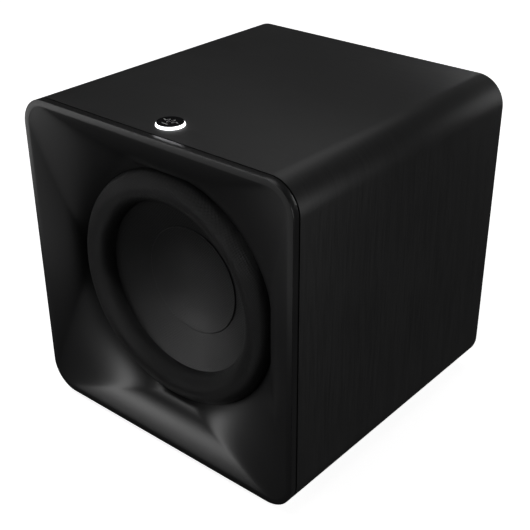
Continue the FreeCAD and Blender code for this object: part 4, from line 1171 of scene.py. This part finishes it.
@dataclass
class RearPanel:
    """The amplifier panel: moulding, screws, knobs, sockets, switches and the print round them."""

    face: float = 15.0
    screw_head: float = 3.0
    knob: float = 10.0
    knob_height: float = 11.2
    knob_lift: float = 0.8
    flutes: int = 30
    flute_depth: float = 0.35

    def build(self) -> None:
        """Builds the panel and everything on it."""
        for node, finish, width in (
            ("amp_panel", PANEL, 0.5), ("mains_inlet", CONTROL, 0.3), ("power_switch", CONTROL, 0.25),
            ("phase_switch", CONTROL, 0.2), ("line_sockets", CONTROL, 0.15),
            ("line_socket_collars", GOLD, 0.12),
            ("inlet_pins", NICKEL, 0.3),
        ):
            piece = softened_copy(node, width)
            piece.finish(f"{node}_moulded", Body.CABINET, finish, replaces=[node], sharp=45, flat=FLAT_AREA)
        for node, finish in (
            ("panel_gasket", FOAM), ("amp_tray", ZINC), ("lead_grommet", FOAM), ("main_board", PCB),
            ("board_screws", ZINC), ("heat_sink", HEAT_SINK), ("transformer_core", FERRITE),
            ("transformer_winding", COPPER), ("filter_capacitors", CAN), ("output_chokes", COPPER),
            ("control_board", PCB), ("wireless_module", NICKEL), ("control_pots", CONTROL),
            ("level_shaft", NICKEL), ("crossover_shaft", NICKEL), ("status_lens", LENS),
        ):
            dress(node, finish)
        self.build_moving("power_rocker", Body.ROCKER, 0.35)
        self.build_moving("pairing_button", Body.PAIRING, 0.35)
        self.build_moving("phase_slider", Body.PHASE, 0.25)
        for name, body in (("level", Body.LEVEL), ("crossover", Body.CROSSOVER)):
            self.build_knob(name, body)
        self.build_screws()
        self.build_print()

    def build_moving(self, node: str, body: Body, width: float) -> None:
        """A moving control with rounded edges."""
        piece = softened_copy(node, width)
        piece.finish(f"{node}_moulded", body, CONTROL, replaces=[node], sharp=45, flat=FLAT_AREA)

    def build_knob(self, name: str, body: Body) -> None:
        """Knob with a fluted grip, a dished face and a white pointer."""
        low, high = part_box(f"{name}_knob")
        place = ((low.x + high.x) / 2, low.y - self.knob_lift * MM, (low.z + high.z) / 2)
        foot, top = self.knob_lift, self.knob_lift + self.knob_height
        grip, crown = self.knob, self.knob - 0.6
        section = [(foot, 3.3), (foot, grip - 0.3), (foot + 0.3, grip), (foot + 1.4, grip)]
        section += [(foot + 1.7, grip - 0.5), (foot + 2.0, crown)]
        section += [(foot + 2.0 + 7.2 * step / 6, crown - 0.08 * step) for step in range(1, 7)]
        section += [(top - 0.9, crown - 0.8), (top - 0.35, crown - 1.2)]
        section += [(top, crown - 1.9), (top, crown - 2.6)]
        section += [(top - 0.5, crown - 3.1), (top - 0.6, 0.0), (foot + 0.6, 0.0), (foot + 0.6, 3.3)]
        shape = Shape().turned(section, self.flutes * 8)

        def flute(spot: Vector) -> Vector:
            """Draws the grip's side in between the flutes."""
            out = math.hypot(spot.x, spot.z)
            in_grip = foot + 1.9 < spot.y < top - 0.5 and out > crown - 1.4
            if not in_grip:
                return spot
            angle = math.atan2(spot.z, spot.x)
            cut = self.flute_depth * (0.5 + 0.5 * math.cos(angle * self.flutes)) ** 2
            return Vector((spot.x * (1 - cut / out), spot.y, spot.z * (1 - cut / out)))

        shape.reshape(flute)
        shape.finish(f"{name}_grip", body, CONTROL, place, [f"{name}_knob"], sharp=40)
        mark = Shape().plate(0.9, 5.0, 0.25, 0.4, 6).move(y=top - 0.62, z=4.0)
        mark.finish(f"{name}_pointer", body, PRINT, place)

    def build_screws(self) -> None:
        """Button-head screws with hexagon sockets, where the CAD screws are."""
        shape = Shape()
        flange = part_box("amp_panel")[1].y / MM
        floor = flange - self.face
        spots = [(x, z, flange - 1.8) for x in (-94, 94) for z in (-114, -38, 38, 114)]
        spots += [(0, z, flange - 1.8) for z in (-114, 114)]
        spots += [(x, z, floor - 0.1) for x in (-72, 72) for z in (-91, 91)]
        for x, z, base in spots:
            shape.add(self.screw().turn(37.0 * (x + z), "Y").move(x, base, z))
        place = (CENTRE.x, 0, CENTRE.z)
        shape.finish("panel_screws_turned", Body.CABINET, OXIDE, place, ["panel_screws"], sharp=40)

    def screw(self) -> Shape:
        """One screw: a domed head round a six-sided socket, and its shank."""
        head = self.screw_head
        section = [(0.0, 1.5), (0.0, head), (0.5, head), (1.0, head - 0.35)]
        section += [(1.45, head - 0.95), (1.6, head - 1.35)]
        section += [(1.6, 1.4), (0.4, 1.35), (0.4, 0.0), (-9.0, 0.0), (-9.0, 1.2), (-8.4, 1.5)]

        def socket(spot: Vector) -> Vector:
            """Draws the socket's wall out to a hexagon."""
            out = math.hypot(spot.x, spot.z)
            if not (0.3 < spot.y and 1.3 < out < 1.45):
                return spot
            angle = math.atan2(spot.z, spot.x) % (TURN / 6) - TURN / 12
            return Vector((spot.x * 0.9 / math.cos(angle), spot.y, spot.z * 0.9 / math.cos(angle)))

        return Shape().turned(section, 36).reshape(socket)

    def build_print(self) -> None:
        """Printed ticks round the knobs, frames round the groups of controls, and plain symbols."""
        shape = Shape()
        for node in ("level_knob", "crossover_knob"):
            low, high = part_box(node)
            x, z = (low.x + high.x) / 2 / MM, (low.z + high.z) / 2 / MM
            for step in range(11):
                length = 2.4 if step in (0, 5, 10) else 1.4
                tick = Shape().plate(0.35, length, 0.06).move(z=12.4 + length / 2)
                shape.add(tick.turn(-150 + 30 * step, "Y").move(x=x, z=z))
        for x, z, width in ((26, 196, 54), (-40, 196, 22), (38, 200, 46), (-33, 200, 40)):
            shape.add(Shape().plate(width, 0.3, 0.06).move(x=x, z=z))
        for socket_x in (26, 50):
            for step in range(3):
                bar = Shape().plate(0.35, 2 + step * 1.6, 0.06)
                shape.add(bar.move(x=socket_x - 1.4 + step * 1.4, z=172.0))
        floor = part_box("amp_panel")[1].y - self.face * MM
        shape.finish("panel_print", Body.CABINET, PRINT, (0, floor, 0))
        self.build_socket_rings()

    def build_socket_rings(self) -> None:
        """Coloured insulating rings at the foot of the line sockets' collars."""
        low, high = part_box("line_socket_collars")
        reach = 5.6 * MM
        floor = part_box("amp_panel")[1].y - self.face * MM
        middle = (low.z + high.z) / 2
        for name, x, finish in (("red", low.x + reach, RED_RING), ("white", high.x - reach, WHITE_RING)):
            section = [(0.0, 5.7), (0.0, 7.0), (0.7, 7.0), (1.0, 6.7), (1.0, 5.9), (0.8, 5.7)]
            shape = Shape().turned(section, 64)
            shape.finish(f"{name}_ring", Body.CABINET, finish, (x, floor, middle), sharp=60)


# ---------------------------------------------------------------- feet


@dataclass
class Feet:
    """Four ribbed rubber feet and their screws."""

    radius: float = 16.0
    sole: float = 14.0
    height: float = 8.0
    well: float = 6.0

    def build(self) -> None:
        """Builds the four feet as one piece."""
        low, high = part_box("rubber_feet")
        shape = Shape()
        top, sole = self.height, self.sole
        section = [(top, 3.0), (top, self.radius - 0.4), (top - 0.4, self.radius), (3.4, self.radius)]
        section += [(2.6, 15.6), (2.2, 15.0), (1.2, 14.6), (0.3, sole), (0.0, sole - 0.4)]
        for groove in (12.0, 9.6):
            section += [(0.0, groove + 0.6), (0.5, groove + 0.3), (0.5, groove - 0.3), (0.0, groove - 0.6)]
        section += [(0.0, self.well + 0.3), (0.3, self.well), (4.0, self.well), (4.0, 3.0)]
        reach = self.radius * MM
        for x in (low.x + reach, high.x - reach):
            for y in (low.y + reach, high.y - reach):
                shape.add(Shape().turned(section, 96, Axis.Z).move(x / MM, y / MM))
        shape.finish("ribbed_feet", Body.CABINET, FOAM, (0, 0, 0), ["rubber_feet"])
        dress("foot_screws", OXIDE)


# ---------------------------------------------------------------- studio


@dataclass(frozen=True)
class SoftBox:
    """One soft box: where it hangs, what it is aimed at, its size and its power."""

    name: str
    place: Point
    size: tuple[float, float]
    watts: float
    aim: Point = (0.0, 0.0, 0.17)


@dataclass
class Studio:
    """A pale floor, soft boxes, a dim pale room and the camera."""

    floor_size: float = 60.0
    lens: float = 69.145
    sensor: float = 36.0
    shift: float = -0.01883
    eye: Point = (0.5863, -0.6929, 0.6434)
    yaw: float = 39.8354
    pitch: float = 29.135
    room: float = 0.02
    boxes: tuple[SoftBox, ...] = (
        SoftBox("right_box", (2.2, 0.0, 0.36), (1.1, 1.1), 16.5),
        SoftBox("front_left_box", (-1.2, -1.8, 0.25), (1.4, 0.5), 9.5),
        SoftBox("high_left_box", (-0.82, -0.82, 2.04), (1.1, 1.1), 12.0),
        SoftBox("top_box", (0.0, 0.0, 2.3), (1.4, 1.4), 4.5),
        SoftBox("high_back_box", (-0.58, 1.01, 2.04), (1.1, 1.1), 4.5),
        SoftBox("back_box", (-0.2, 2.2, 0.2), (1.4, 0.5), 8.0),
        SoftBox("front_card", (-0.28, -0.58, 0.01), (0.7, 0.36), 0.28, (-0.28, -0.58, 1.0)),
        SoftBox("left_card", (-0.9, -0.6, 0.01), (0.5, 0.5), 1.4, (-0.9, -0.6, 1.0)),
    )

    def build(self) -> None:
        """Sets up the floor, the lights and the camera."""
        bpy.context.scene.view_settings.view_transform = "Standard"
        self.build_floor()
        self.build_room()
        for box in self.boxes:
            self.build_box(box)
        self.build_camera()

    def build_floor(self) -> None:
        """A wide pale floor that keeps its own light to itself."""
        mesh = bmesh.new()
        bmesh.ops.create_grid(mesh, x_segments=1, y_segments=1, size=self.floor_size / 2)
        data = bpy.data.meshes.new("floor")
        mesh.to_mesh(data)
        mesh.free()
        floor = bpy.data.objects.new("floor", data)
        bpy.context.scene.collection.objects.link(floor)
        graph = Graph("pale_floor")
        haze = graph.noise(2.0, 1.0)
        graph.set(
            base_color=graph.mix(haze, (0.8, 0.8, 0.8), (0.82, 0.82, 0.82)),
            roughness=0.9,
            emission_color=(1.0, 1.0, 1.0),
            emission_strength=0.9,
        )
        data.materials.append(graph.material)
        floor.visible_diffuse = False
        floor.visible_glossy = False

    def build_room(self) -> None:
        """The room: white to look at, and a dim even light on the object."""
        world = bpy.data.worlds.new("room")
        bpy.context.scene.world = world
        world.use_nodes = True
        nodes, links = world.node_tree.nodes, world.node_tree.links
        background = nodes["Background"]
        background.inputs["Color"].default_value = (1.0, 1.0, 1.0, 1.0)
        path = nodes.new("ShaderNodeLightPath")
        strength = nodes.new("ShaderNodeMapRange")
        strength.inputs["To Min"].default_value = self.room
        strength.inputs["To Max"].default_value = 1.0
        links.new(path.outputs["Is Camera Ray"], strength.inputs["Value"])
        links.new(strength.outputs[0], background.inputs["Strength"])

    def build_box(self, box: SoftBox) -> None:
        """Hangs one soft box and aims it."""
        data = bpy.data.lights.new(box.name, "AREA")
        data.shape = "RECTANGLE"
        data.size, data.size_y = box.size
        data.energy = box.watts
        light = bpy.data.objects.new(box.name, data)
        bpy.context.scene.collection.objects.link(light)
        light.location = box.place
        light.rotation_euler = (Vector(box.aim) - Vector(box.place)).to_track_quat("-Z", "Y").to_euler()
        light.visible_camera = False

    def build_camera(self) -> None:
        """The camera, above and to the right of the front."""
        data = bpy.data.cameras.new("camera")
        data.sensor_width = self.sensor
        data.lens = self.lens
        data.shift_x = self.shift
        data.clip_end = 200.0
        camera = bpy.data.objects.new("camera", data)
        bpy.context.scene.collection.objects.link(camera)
        yaw, pitch = math.radians(self.yaw), math.radians(self.pitch)
        ahead = Vector((-math.sin(yaw) * math.cos(pitch), math.cos(yaw) * math.cos(pitch), -math.sin(pitch)))
        camera.location = self.eye
        camera.rotation_euler = ahead.to_track_quat("-Z", "Y").to_euler()
        bpy.context.scene.camera = camera


# ---------------------------------------------------------------- build


def main() -> None:
    """Builds the studio and every sub-assembly."""
    logging.basicConfig(level=logging.INFO, format="%(message)s")
    for part in (Studio(), Cabinet(), FrontMoulding(), Driver(), Badge(), RearPanel(), Feet()):
        part.build()


if __name__ == "__main__":
    main()
